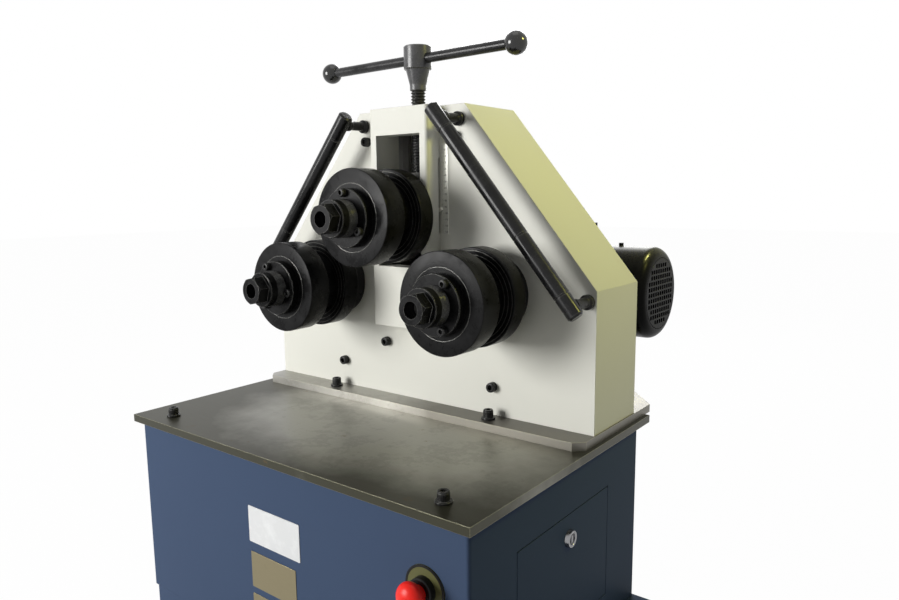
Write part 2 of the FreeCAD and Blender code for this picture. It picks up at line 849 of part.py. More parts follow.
def clamp_nut(x, z, turn):
    """Round skirt with a hexagon nose whose corners are chamfered, and a through bore."""
    skirt = turned_y(x, z, [(0, hex_back), (nut_skirt_diameter / 2 - 1, hex_back),
                            (nut_skirt_diameter / 2, hex_back + 1), (nut_skirt_diameter / 2, collar_front),
                            (0, collar_front)])
    nose = hexagon_y(x, z, nut_front, hex_back, nut_flats, turn)
    corner = nut_flats / math.sqrt(3)
    flat = nut_flats / 2
    cone = turned_y(x, z, [(0, nut_front), (flat, nut_front), (corner + 0.1, nut_front + (corner - flat)),
                           (corner + 0.1, hex_back + 1), (0, hex_back + 1)])
    bore = rod_y(x, z, nut_front - 1, collar_front + 1, nut_bore + 2 * running)
    return nose.common(cone).fuse(skirt).cut(bore)


# Gears

def involute(angle):
    return math.tan(angle) - angle


def tooth_point(x, z, y, teeth, radius, centre_angle, side):
    """Point of one involute flank at the given radius."""
    pitch = gear_module * teeth / 2
    base = pitch * math.cos(pressure_angle)
    radius = max(radius, base)
    half = math.pi / (2 * teeth) - backlash / (4 * pitch) + involute(pressure_angle)
    angle = centre_angle + side * (half - involute(math.acos(base / radius)))
    return Vector(x + radius * math.cos(angle), y, z + radius * math.sin(angle))


def toothed_blank(x, z, y0, y1, teeth, phase):
    """Gear blank whose flanks follow the involute in two straight lengths each."""
    pitch = gear_module * teeth / 2
    root = pitch - 1.25 * gear_module
    tip = pitch + gear_module
    points = []
    for tooth in range(teeth):
        centre = phase + 2 * math.pi * tooth / teeth
        points += [tooth_point(x, z, y0, teeth, r, centre, -1) for r in (root, pitch, tip)]
        points += [tooth_point(x, z, y0, teeth, r, centre, 1) for r in (tip, pitch, root)]
    return polygon(points).extrude(Vector(0, y1 - y0, 0))


def mesh_phase(side):
    """Phase of a lower gear whose gap faces the pinion's tooth; the pinion has a tooth at the top."""
    line = math.atan2(pinion_drop, side * lower_shaft_x)
    pitch_angle = 2 * math.pi / pinion_teeth
    offset = math.pi / 2 - line
    offset -= pitch_angle * round(offset / pitch_angle)
    gap = line + math.pi - offset * pinion_teeth / gear_teeth
    return gap + math.pi / gear_teeth


def lower_gear(side):
    x = side * lower_shaft_x
    z = lower_axis_height
    end = gear_front + gear_width
    blank = toothed_blank(x, z, gear_front, end, gear_teeth, mesh_phase(side))
    rim = gear_pitch_radius - gear_rim
    web = (gear_width - gear_web) / 2
    hub = gear_hub / 2
    tools = [turned_y(x, z, [(hub, gear_front - 1), (rim, gear_front - 1), (rim - 3, gear_front + web),
                             (hub, gear_front + web)]),
             turned_y(x, z, [(hub, end - web), (rim - 3, end - web), (rim, end + 1), (hub, end + 1)]),
             rod_y(x, z, gear_front - 1, end + 1, gear_seat_diameter + 2 * running)]
    circle = (hub + rim) / 2
    for step in range(gear_holes):
        angle = 2 * math.pi * step / gear_holes
        tools.append(rod_y(x + circle * math.cos(angle), z + circle * math.sin(angle),
                           gear_front - 1, end + 1,
                           gear_hole))
    return blank.cut(tools)


def drive_pinion():
    """Pinion cut on its own shaft, which runs back into the reducer."""
    front = gear_front - pinion_extra
    end = gear_front + gear_width + pinion_extra
    blank = toothed_blank(0, pinion_height, front, end, pinion_teeth, math.pi / 2)
    journal = front_plate_back - pinion_bearing[2]
    bearing = pinion_bearing[0] / 2
    shaft = pinion_shaft / 2
    tail = pinion_tail / 2
    profile = [(0, journal), (bearing, journal), (bearing, front_plate_back),
               (shaft, front_plate_back + air_gap),
               (shaft, head_back), (tail, head_back), (tail, motor_y), (0, motor_y)]
    return blank.fuse(turned_y(0, pinion_height, profile))


# Slide of the upper shaft, spindle and handle

def slide_block():
    """Tee-shaped bearing block with two bearing seats and a tee slot for the spindle's collar."""
    half = window_width / 2 - slide_gap
    wing = slide_wing / 2
    wing_front = front_plate_back + slide_gap
    outline = [(-half, slide_front), (half, slide_front), (half, wing_front), (wing, wing_front),
               (wing, slide_back), (-wing, slide_back), (-wing, wing_front), (-half, wing_front)]
    body = prism_z(outline, slide_low, slide_high)
    z = upper_axis_height
    seat = slide_bearing[1] + 2 * running
    tools = [rod_y(0, z, slide_front - 1, slide_front + slide_lip + slide_bearing[2], seat),
             rod_y(0, z, slide_back - slide_lip - slide_bearing[2], slide_back + 1, seat),
             rod_y(0, z, slide_front, slide_back, slide_bearing[1] - 14)]
    collar_low = z + slot_floor
    collar_high = collar_low + spindle_collar[1] + 2 * slide_gap
    for width, low, high in ((spindle_collar[0], collar_low, collar_high),
                             (spindle_neck, collar_high, slide_high + 1)):
        radius = width / 2 + slide_gap
        tools.append(rod_z(0, spindle_y, low, high, 2 * radius))
        tools.append(box(-radius, radius, spindle_y, slide_back + 1, low, high))
    return body.cut(tools)


def slide_bearings():
    front = bearing_ring(0, upper_axis_height, slide_front + slide_lip, slide_bearing)
    back = bearing_ring(0, upper_axis_height, slide_back - slide_lip - slide_bearing[2], slide_bearing)
    return [front, back]


def scale_pointer():
    """Flat arm from the slide's front face, through the slot of the box, to a pointed tip."""
    back = head_front - ruler_thickness - air_gap
    front = back - pointer_thickness
    half = pointer_depth / 2
    tip = [(pointer_root, pointer_height - half), (pointer_tip - half, pointer_height - half),
           (pointer_tip, pointer_height), (pointer_tip - half, pointer_height + half),
           (pointer_root, pointer_height + half)]
    pad = box(pointer_root, window_width / 2 - 2, front, slide_front, pointer_height - half,
              pointer_height + half)
    return prism_y(tip, front, back).fuse(pad)


def spindle_nut():
    bore = spindle_diameter / 2 + running
    outer = nut_outer / 2
    low = head_top - top_wall
    return turned_z(0, spindle_y, [(bore, low), (outer, low), (outer, head_top), (bore, head_top)])


def spindle_screw():
    collar_low = upper_axis_height + slot_floor + slide_gap
    collar_high = collar_low + spindle_collar[1]
    thread = spindle_diameter / 2
    neck_top = slide_high + 2
    top = bar_height - bar_diameter / 2 - 2
    return turned_z(0, spindle_y, [
        (0, collar_low), (spindle_collar[0] / 2, collar_low), (spindle_collar[0] / 2, collar_high),
        (spindle_neck / 2, collar_high), (spindle_neck / 2, neck_top), (thread, neck_top),
        (thread, top), (0, top)])


def turn_handle(solid):
    """Turn a piece of the handle to the angle at which it stands."""
    solid.rotate(Vector(0, spindle_y, 0), Vector(0, 0, 1), bar_turn)
    return solid


def handle_hub():
    """Tapered socket on the spindle's top, bored across for the bar."""
    neck = hub_neck[0] / 2
    cone = hub_cone[0] / 2
    outer = hub_diameter / 2
    cone_low = hub_bottom + hub_neck[1]
    cone_high = cone_low + hub_cone[1]
    body = turned_z(0, spindle_y, [
        (0, hub_bottom), (neck, hub_bottom), (neck, cone_low), (cone, cone_high),
        (outer - hub_chamfer, cone_high), (outer, cone_high + hub_chamfer), (outer, hub_top - hub_chamfer),
        (outer - hub_chamfer, hub_top), (0, hub_top)])
    cross = rod_x(spindle_y, bar_height, -outer - 1, outer + 1, bar_diameter + 2 * running)
    socket_top = bar_height - bar_diameter / 2 - 2
    socket = rod_z(0, spindle_y, hub_bottom - 1, socket_top + running, spindle_diameter + 2 * running)
    return turn_handle(body.cut([cross, socket]))


def tommy_bar():
    reach = ball_diameter / 4
    bar = rod_x(spindle_y, bar_height, -bar_left + reach - 3, bar_right - reach + 3, bar_diameter)
    return turn_handle(bar)


def ball_knobs():
    """Two balls, each with a small flat and a blind bore where the bar enters."""
    solids = []
    reach = ball_diameter / 4
    for centre, side in ((-bar_left, 1), (bar_right, -1)):
        ball = Part.makeSphere(ball_diameter / 2, Vector(centre, spindle_y, bar_height))
        ball.rotate(Vector(centre, spindle_y, bar_height), Vector(0, 0, 1), 90)
        inner = centre + side * (reach - 3)
        outer = centre + side * ball_diameter
        bore = rod_x(spindle_y, bar_height, min(inner, outer), max(inner, outer), bar_diameter + 2 * air_gap)
        face = centre + side * (ball_diameter / 2 - 2.2)
        trim = box(min(face, outer), max(face, outer), spindle_y - ball_diameter, spindle_y + ball_diameter,
                   bar_height - ball_diameter, bar_height + ball_diameter)
        solids.append(turn_handle(ball.cut([bore, trim])))
    return solids


# Scale and round guide bars

def ruler_scale():
    return box(ruler_left, ruler_left + ruler_width, head_front - ruler_thickness, head_front, ruler_low,
               ruler_high)


def guide_bar(side):
    """Turned bar with ring notches, bored from behind for its two posts."""
    top = Vector(side * guide_top[0], guide_bar_y, guide_top[1])
    low = Vector(side * guide_low[0], guide_bar_y, guide_low[1])
    axis = (low - top).normalize()
    span = (low - top).Length
    radius = guide_diameter / 2
    width, depth = guide_notch
    start = -guide_over_top
    end = span + guide_over_low
    profile = [(0, start), (radius - guide_end_chamfer, start), (radius, start + guide_end_chamfer)]
    for place in guide_notch_places:
        profile += [(radius, place), (radius - depth, place), (radius - depth, place + width),
                    (radius, place + width)]
    profile += [(radius, end - guide_end_chamfer), (radius - guide_end_chamfer, end), (0, end)]
    body = turned(profile, top, axis, Vector(0, 1, 0))
    bores = [rod_y(side * x, z, guide_bar_y - post_depth, guide_bar_y + guide_diameter,
                   post_diameter + 2 * running) for x, z in (guide_top, guide_low)]
    return body.cut(bores)


def bar_posts():
    """Posts that stand in the front plate and carry the guide bars."""
    collar_d, collar_t = post_collar
    flare_d, flare_t = post_flare
    bar_face = guide_bar_y + guide_diameter / 2
    solids = []
    for x, z in post_places():
        solids.append(turned_y(x, z, [
            (0, guide_bar_y - post_depth), (post_diameter / 2, guide_bar_y - post_depth),
            (post_diameter / 2, bar_face + air_gap), (flare_d / 2, bar_face + air_gap),
            (flare_d / 2, bar_face + flare_t), (post_diameter / 2, bar_face + 2 * flare_t),
            (post_diameter / 2, head_front - collar_t - 3), (collar_d / 2, head_front - collar_t),
            (collar_d / 2, head_front), (post_thread / 2, head_front),
            (post_thread / 2, head_front + face_screw_depth), (0, head_front + face_screw_depth)]))
    return solids


# Reducer and motor

def gearbox_housing():
    """Worm reducer bolted to the back of the head; its worm lies along X above the wheel."""
    flange_d, flange_t = reducer_flange
    case_d, case_w = wheel_case
    hub_d, hub_w = wheel_hub
    worm_d, worm_l = worm_case
    input_d, input_t = input_flange
    case_front = motor_y - case_w / 2
    case_back = motor_y + case_w / 2
    hub_back = motor_y + hub_w / 2
    wheel = turned_y(0, pinion_height, [
        (0, head_back), (flange_d / 2, head_back), (flange_d / 2, head_back + flange_t),
        (reducer_neck / 2, head_back + flange_t), (hub_d / 2, case_front - 10), (case_d / 2 - 4, case_front),
        (case_d / 2, case_front + 4), (case_d / 2, case_back - 4), (case_d / 2 - 4, case_back),
        (hub_d / 2, case_back), (hub_d / 2, hub_back), (0, hub_back)])
    worm = turned_x(motor_y, motor_height, [
        (0, -worm_l / 2), (worm_d / 2 - 6, -worm_l / 2), (worm_d / 2, -worm_l / 2 + 6),
        (worm_d / 2, worm_l / 2), (input_d / 2, worm_l / 2), (input_d / 2, worm_l / 2 + input_t),
        (0, worm_l / 2 + input_t)])
    web = box(-worm_l / 3, worm_l / 3, motor_y - worm_d / 2, motor_y + worm_d / 2,
              pinion_height, motor_height)
    bore = rod_y(0, pinion_height, head_back - 1, motor_y + 10, pinion_tail + 2 * running)
    mouth = rod_y(0, pinion_height, head_back - 1, head_back + 6, pinion_shaft + 4)
    return wheel.fuse([worm, web]).cut([bore, mouth])


def motor_body():
    """Flange-mounted motor: end shields, a finned stator and the rim that carries the fan cover."""
    start = worm_case[1] / 2 + input_flange[1]
    shield_d, shield_w = motor_shield
    stator_front = start + motor_flange_width + shield_w
    stator_back = cover_start - 2
    seat_back = cover_start + 6
    radius = stator_diameter / 2
    seat = cover_diameter / 2 - cover_sheet
    core = turned_x(motor_y, motor_height, [
        (0, start), (input_flange[0] / 2, start), (input_flange[0] / 2, start + motor_flange_width),
        (shield_d / 2 - 12, start + motor_flange_width), (shield_d / 2, stator_front),
        (radius, stator_front), (radius, stator_back), (seat, stator_back),
        (seat, seat_back), (0, seat_back)])
    fins = []
    for step in range(fin_count):
        fin = box(stator_front + 4, stator_back, motor_y - fin_width / 2, motor_y + fin_width / 2,
                  motor_height + radius - 3, motor_height + fin_diameter / 2)
        fin.rotate(Vector(0, motor_y, motor_height), Vector(1, 0, 0), 360.0 * step / fin_count)
        fins.append(fin)
    bore = rod_x(motor_y, motor_height, cover_start - 20, seat_back + 1, motor_shaft + 2 * running)
    return core.fuse(fins).cut([terminal_space(0), bore])


def terminal_space(inset):
    """Block that the terminal box takes up on top of the stator."""
    length, width, height = terminal_box
    low = motor_height + stator_diameter / 2 - 4
    return box(terminal_box_end - length + inset, terminal_box_end - inset, motor_y - width / 2 + inset,
               motor_y + width / 2 - inset, low, low + height)


def grille_disc():
    """The flat end of the fan cover, before it is pierced."""
    return rod_x(motor_y, motor_height, motor_end - cover_sheet, motor_end, grille_diameter)


def fan_cover():
    """Pressed cover with a broken shoulder and four screw heads, open at its end for the grille."""
    outer = cover_diameter / 2
    flat, slant = cover_shoulder

    def shell(radius, end, start):
        return turned_x(motor_y, motor_height, [
            (0, start), (radius, start), (radius, end - flat), (radius - slant, end - slant),
            (radius - flat, end), (0, end)])

    hollow = shell(outer - cover_sheet, motor_end - cover_sheet, cover_start - 1)
    body = shell(outer, motor_end, cover_start).cut([hollow, grille_disc()])
    heads = []
    head_d, head_h = cover_screw
    for step in range(4):
        head = rod_z(cover_screw_place, motor_y, motor_height + outer - cover_sheet,
                     motor_height + outer + head_h, head_d)
        head.rotate(Vector(0, motor_y, motor_height), Vector(1, 0, 0), 90.0 * step)
        heads.append(head)
    return body.fuse(heads)


def fan_grille():
    """Grille of square holes that is seated in the end of the fan cover."""
    holes = []
    radius = grille_diameter / 2
    reach = int(radius / grille_pitch) + 1
    half = grille_hole / 2
    for i in range(-reach, reach + 1):
        for j in range(-reach, reach + 1):
            y = i * grille_pitch
            z = j * grille_pitch
            if math.hypot(abs(y) + half, abs(z) + half) < radius:
                holes.append(box(motor_end - cover_sheet - 1, motor_end + 1, motor_y + y - half,
                                 motor_y + y + half, motor_height + z - half, motor_height + z + half))
    return grille_disc().cut(holes)


def motor_fan():
    """Radial fan on the end of the motor shaft."""
    front = cover_start + 12
    hub = fan_hub / 2
    disc = turned_x(motor_y, motor_height, [
        (0, cover_start - 18), (motor_shaft / 2, cover_start - 18), (motor_shaft / 2, front),
        (fan_diameter / 2 - 8, front), (fan_diameter / 2 - 8, front + 2.5), (hub, front + 2.5),
        (hub - 3, front + fan_width - 4), (motor_shaft / 2, front + fan_width - 4),
        (motor_shaft / 2, front + fan_width + 4), (0, front + fan_width + 4)])
    blades = []
    for step in range(fan_blades):
        blade = box(front + 1, front + fan_width, motor_y - fan_blade / 2, motor_y + fan_blade / 2,
                    motor_height + hub - 4, motor_height + fan_diameter / 2)
        blade.rotate(Vector(0, motor_y, motor_height), Vector(1, 0, 0), 360.0 * step / fan_blades)
        blades.append(blade)
    return disc.fuse(blades)


def terminal_housing():
    """Cast box on the stator with a lid that stands a little proud and a cable entry at the back."""
    lid_t, lid_proud = terminal_lid
    space = terminal_space(slide_gap).BoundBox
    seam = space.ZMax - lid_t
    body = box(space.XMin, space.XMax, space.YMin, space.YMax, space.ZMin, seam)
    lid = box(space.XMin - lid_proud, space.XMax + lid_proud, space.YMin - lid_proud, space.YMax + lid_proud,
              seam, space.ZMax)
    body = round_edges(body, terminal_corner, Vector(0, 0, 1))
    lid = round_edges(lid, terminal_corner + lid_proud, Vector(0, 0, 1))
    gland_d, gland_l = terminal_gland
    middle = (space.XMin + space.XMax) / 2
    gland = rod_y(middle, (space.ZMin + seam) / 2 + 4, space.YMax - 1, space.YMax + gland_l, gland_d)
    stator = rod_x(motor_y, motor_height, 0, motor_end, stator_diameter + 2 * slide_gap)
    return body.fuse([lid, gland]).cut(stator)


# Emergency stop

def stop_legend():
    wall = -cabinet_depth / 2
    outer = legend_diameter / 2
    hole = stop_panel_hole / 2 + running
    return turned_y(stop_x, stop_z, [
        (hole, wall), (outer, wall), (outer, wall - legend_thickness + 0.5),
        (outer - 0.5, wall - legend_thickness),
        (hole, wall - legend_thickness)])


def stop_body():
    """Collar in front of the legend; threaded barrel, ring nut and contact block behind the sheet."""
    wall = -cabinet_depth / 2
    front = wall - legend_thickness
    inside = wall + cabinet_sheet
    stem = stop_stem / 2 + slide_gap
    collar_d, collar_w = stop_collar
    nut_d, nut_w = stop_nut
    block_w, block_h, block_d = stop_block
    body = turned_y(stop_x, stop_z, [
        (stem, front - collar_w), (collar_d / 2 - 1.5, front - collar_w),
        (collar_d / 2, front - collar_w + 1.5),
        (collar_d / 2, front), (stop_panel_hole / 2, front), (stop_panel_hole / 2, inside),
        (nut_d / 2, inside), (nut_d / 2, inside + nut_w), (stem, inside + nut_w)])
    block = box(stop_x - block_w / 2, stop_x + block_w / 2, inside + nut_w, inside + nut_w + block_d,
                stop_z - block_h / 2, stop_z + block_h / 2)
    return body.fuse(block)


def stop_mushroom():
    """Mushroom head on a stem that slides in the collar."""
    wall = -cabinet_depth / 2
    rim = mushroom_diameter / 2
    stem = stop_stem / 2
    inside = wall + cabinet_sheet + stop_nut[1] - stop_travel - 1
    back = wall - mushroom_back
    front = wall - mushroom_front
    rim_front = back - mushroom_rim
    slope = (rim_front - front) / 3
    return turned_y(stop_x, stop_z, [
        (0, inside), (stem, inside), (stem, back), (rim - mushroom_undercut, back), (rim, rim_front),
        (rim * 0.8, front + slope), (rim * 0.4, front), (0, front)])


# Electrical gear

def electrics_panel():
    """Mounting plate on stand-offs at the cabinet's back wall."""
    wall = cabinet_depth / 2 - cabinet_sheet
    back = wall - panel_standoff
    right = panel_left + panel_width
    plate = box(panel_left, right, back - panel_sheet, back, panel_low, panel_high)
    studs = []
    for x in (panel_left + 12, right - 12):
        for z in (panel_low + 12, panel_high - 12):
            studs.append(rod_y(x, z, back, wall, 10))
    return plate.fuse(studs)


def switchgear():
    """Contactor, transformer and terminal strip, side by side on the plate."""
    face = cabinet_depth / 2 - cabinet_sheet - panel_standoff - panel_sheet
    left = panel_left + 20
    low = panel_low + 70
    solids = []
    for (width, height, depth), x, z in ((contactor, left, low),
                                         (transformer, left + contactor[0] + 30, low),
                                         (terminal_strip, left, panel_low + 20)):
        body = box(x, x + width, face - depth, face, z, z + height)
        step = box(x - 1, x + width + 1, face - depth - 1, face - depth * 0.7,
                   z + height * 0.8, z + height + 1)
        solids.append(body.cut(step))
    return solids


def cable_gland():
    """Threaded gland with a hexagon and a domed cap nut; its bore is plugged inside."""
    wall = cabinet_depth / 2
    hex_flats, hex_width = gland_hex
    cap_d, cap_length = gland_cap
    barrel = rod_y(gland_x, gland_z, wall - cabinet_sheet - 10, wall, gland_thread)
    nut = hexagon_y(gland_x, gland_z, wall, wall + hex_width, hex_flats)
    lock = hexagon_y(gland_x, gland_z, wall - cabinet_sheet - 6, wall - cabinet_sheet, hex_flats)
    end = wall + hex_width + cap_length
    cap = turned_y(gland_x, gland_z, [(0, wall + hex_width), (cap_d / 2, wall + hex_width),
                                      (cap_d / 2, end - 6), (cap_d / 2 - 4, end), (0, end)])
    bore = rod_y(gland_x, gland_z, wall + hex_width, end + 1, gland_bore)
    return barrel.fuse([nut, lock, cap]).cut(bore)


def save_rollers(name, x, z, phase, nut_turn):
    save(name + "_roller_discs", *roller_discs(x, z))
    save(name + "_roller_spacer", roller_spacer(x, z))
    save(name + "_clamp_collar", clamp_collar(x, z, phase))
    save(name + "_collar_screws", *collar_screws(x, z, phase))
    save(name + "_clamp_nut", clamp_nut(x, z, nut_turn))


os.makedirs("parts", exist_ok=True)

save("base_plinth", plinth())
save("cabinet_shell", cabinet())
save("table_plate", table())
save("table_bolts", *table_bolts())
save("base_flange", base_flange())
save("door_hinge", hinge_frame())
save("side_door", side_door())
save("door_lock", door_lock())

save("head_shell", head_shell())
save("head_rear_plate", head_rear_plate())
save("head_screws", *head_screws())
save("slide_box", slide_box())
save("guide_rails", *guide_rails())
save("shaft_bearings", *shaft_bearings())
save("bearing_caps", *bearing_caps())
save("ruler_scale", ruler_scale())
save("left_guide_bar", guide_bar(-1))
save("right_guide_bar", guide_bar(1))
save("bar_posts", *bar_posts())

save("left_shaft", lower_shaft(-1))
save("right_shaft", lower_shaft(1))
save("upper_shaft", upper_shaft())
save_rollers("left", -lower_shaft_x, lower_axis_height, 112.0, 12.0)
save_rollers("right", lower_shaft_x, lower_axis_height, 57.0, 12.0)
save_rollers("upper", 0.0, upper_axis_height, 90.0, 12.0)
save("left_gear", lower_gear(-1))
save("right_gear", lower_gear(1))
save("drive_pinion", drive_pinion())

save("slide_block", slide_block())
save("slide_bearings", *slide_bearings())
save("scale_pointer", scale_pointer())
save("spindle_nut", spindle_nut())
save("spindle_screw", spindle_screw())
save("handle_hub", handle_hub())
save("tommy_bar", tommy_bar())
save("ball_knobs", *ball_knobs())

save("gearbox_housing", gearbox_housing())
save("motor_body", motor_body())
save("fan_cover", fan_cover())
save("fan_grille", fan_grille())
save("motor_fan", motor_fan())
save("terminal_box", terminal_housing())

save("stop_legend", stop_legend())
save("stop_body", stop_body())
save("stop_mushroom", stop_mushroom())
save("electrics_panel", electrics_panel())
save("switchgear", *switchgear())
save("cable_gland", cable_gland())
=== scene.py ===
import math

import bmesh
import bpy
from mathutils import Matrix, Vector


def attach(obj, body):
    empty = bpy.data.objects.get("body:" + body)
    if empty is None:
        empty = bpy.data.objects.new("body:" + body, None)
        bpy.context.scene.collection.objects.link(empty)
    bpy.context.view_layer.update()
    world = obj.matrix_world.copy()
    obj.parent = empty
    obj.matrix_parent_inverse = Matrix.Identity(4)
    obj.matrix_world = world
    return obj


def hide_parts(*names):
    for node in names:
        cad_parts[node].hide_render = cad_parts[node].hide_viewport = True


# Looks of the ring roller, in metres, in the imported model's own frame.

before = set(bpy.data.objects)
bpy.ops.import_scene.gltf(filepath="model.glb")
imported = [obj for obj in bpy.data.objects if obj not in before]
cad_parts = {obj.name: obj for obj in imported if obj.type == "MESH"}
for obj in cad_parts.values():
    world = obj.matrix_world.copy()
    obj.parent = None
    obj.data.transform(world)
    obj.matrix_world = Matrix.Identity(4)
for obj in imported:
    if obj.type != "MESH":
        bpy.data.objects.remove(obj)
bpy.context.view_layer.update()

# Sizes that the pieces share with the solids
table_top = 0.400
table_thickness = 0.012
cabinet_front = -0.2315
cabinet_side = 0.341
head_base = 0.413
head_front = 0.0753
head_back = 0.2147
shaft_x = 0.170
lower_axis_z = 0.609
upper_axis_z = 0.727
pinion_z = 0.50364
motor_y = 0.318
motor_z = 0.59364
motor_cover_start = 0.338
spindle_y = 0.0988
handle_z = 0.9805
roller_radius = 0.075
roller_bore = 0.02006
roller_front = -0.064
groove_front = -0.0255
groove_back = 0.0125
roller_back = 0.0420
collar_front = -0.078
collar_screw_circle = 0.038
cap_screw_circle = 0.042
pinion_cap_circle = 0.068
ruler_left = 0.0662
ruler_low = 0.701
stop_x = 0.276
stop_z = 0.298
lock_y = 0.0035
lock_z = 0.286
guide_bar_y = 0.0203
guide_top = (0.1015, 0.8771)
guide_line = (0.6507, -0.7593)

bolt_head_radius = 0.008
bolt_head_height = 0.012
washer_radius = 0.011
washer_thickness = 0.003
face_head_radius = 0.008
face_head_height = 0.010
socket_flats = 0.008
socket_depth = 0.006
shank_radius = 0.005
small_gap = 0.0002


# Finishes

class Value:
    """One output of a node; sums and products of values add their own Math nodes."""

    def __init__(self, nodes, socket):
        self.nodes = nodes
        self.socket = socket

    def math(self, operation, first, second):
        return self.nodes.node("Math", {"operation": operation}, [first, second])

    def __add__(self, other):
        return self.math("ADD", self, other)

    def __radd__(self, other):
        return self.math("ADD", other, self)

    def __sub__(self, other):
        return self.math("SUBTRACT", self, other)

    def __rsub__(self, other):
        return self.math("SUBTRACT", other, self)

    def __mul__(self, other):
        return self.math("MULTIPLY", self, other)

    def __rmul__(self, other):
        return self.math("MULTIPLY", other, self)

    def either(self, other):
        return self.math("MAXIMUM", self, other)


class Nodes:
    """The nodes of a material or of the world; one method adds any node."""

    def __init__(self, owner, start_empty=False):
        owner.use_nodes = True
        self.tree = owner.node_tree
        if start_empty:
            self.tree.nodes.clear()

    def node(self, kind, settings, inputs, output=0):
        made = self.tree.nodes.new("ShaderNode" + kind)
        for name, value in settings.items():
            if name == "stops":
                ramp = made.color_ramp
                while len(ramp.elements) < len(value):
                    ramp.elements.new(0.5)
                for stop, (position, shade) in zip(ramp.elements, value):
                    stop.position = position
                    stop.color = (shade, shade, shade, 1)
            else:
                setattr(made, name, value)
        pairs = inputs.items() if isinstance(inputs, dict) else enumerate(inputs)
        for socket, value in pairs:
            self.feed(made.inputs[socket], value)
        if made.outputs:
            return Value(self, made.outputs[output])

    def feed(self, socket, value):
        if isinstance(value, Value):
            self.tree.links.new(value.socket, socket)
        else:
            socket.default_value = value


class Finish(Nodes):
    """A material with one Principled shader, fed by nodes that read the piece's own coordinates."""

    def __init__(self, name, slot, even):
        self.slot = slot
        self.material = bpy.data.materials.new(name)
        super().__init__(self.material)
        self.shader = self.tree.nodes["Principled BSDF"]
        for socket, value in even.items():
            self.shader.inputs[socket].default_value = value
        self.place = self.node("TexCoord", {}, [], "Object")

    def set(self, socket, value):
        self.feed(self.shader.inputs[socket], value)

    def stretched(self, scale, centre=(0, 0, 0), turn=(0, 0, 0)):
        """The piece's coordinates, moved to a centre, turned and stretched."""
        moved = self.node("VectorMath", {"operation": "SUBTRACT"}, [self.place, centre])
        return self.node("Mapping", {}, {"Vector": moved, "Rotation": turn, "Scale": scale})

    def noise(self, scale, detail=3.0, rough=0.5, place=None):
        return self.node("TexNoise", {}, {"Vector": place or self.place, "Scale": scale, "Detail": detail,
                                          "Roughness": rough}, "Fac")

    def ramp(self, value, *stops):
        return self.node("ValToRGB", {"stops": stops}, [value])

    def mixed(self, factor, first, second):
        return self.node("Mix", {"data_type": "RGBA"}, {0: factor, 6: first, 7: second}, 2)

    def lathe_marks(self, centre, axis, scale):
        """Rings that a lathe leaves, on the faces across its axis and on the rims along it."""
        from_centre = self.node("VectorMath", {"operation": "SUBTRACT"}, [self.place, centre])
        across = self.node("VectorMath", {"operation": "CROSS_PRODUCT"}, [from_centre, axis])
        radius = self.node("VectorMath", {"operation": "LENGTH"}, [across], "Value")
        along = self.node("VectorMath", {"operation": "DOT_PRODUCT"}, [from_centre, axis], "Value")
        line = self.node("CombineXYZ", {}, [radius + along])
        return self.noise(scale, 3.0, 0.6, line)

    def rounded(self, radius):
        """Normal of edges that are broken to a small radius."""
        return self.node("Bevel", {"samples": 4}, {"Radius": radius})

    def edges(self, radius):
        """One on edges and zero on flat faces."""
        soft = self.rounded(radius)
        true = self.node("NewGeometry", {}, [], "Normal")
        match = self.node("VectorMath", {"operation": "DOT_PRODUCT"}, [soft, true], "Value")
        return self.ramp(1 - match, (0.01, 0), (0.12, 1))

    def bumped(self, height, distance, strength=1.0, normal=None):
        inputs = {"Strength": strength, "Distance": distance, "Height": height}
        if normal is not None:
            inputs["Normal"] = normal
        made = self.node("Bump", {}, inputs)
        self.set("Normal", made)
        return made


def colour(red, green, blue):
    return (red, green, blue, 1.0)


def sprayed_paint(name, slot, body, shade, roughness, gloss, edge_radius=0.0010):
    """Baked enamel: fine orange peel, faint clouding and a thin film on the edges."""
    finish = Finish(name, slot, {"Specular IOR Level": gloss})
    cloud = finish.noise(3.5, 4.0, 0.55)
    dust = finish.ramp(finish.noise(60.0, 5.0, 0.65), (0.60, 0), (0.80, 1))
    base = finish.mixed(cloud * 0.5, body, shade)
    finish.set("Base Color", finish.mixed(dust * 0.12, base, shade))
    finish.set("Roughness", roughness + cloud * 0.08 + dust * 0.05)
    peel = finish.noise(420.0, 2.0, 0.4)
    finish.bumped(peel, 0.00010, 0.35, finish.rounded(edge_radius))
    return finish


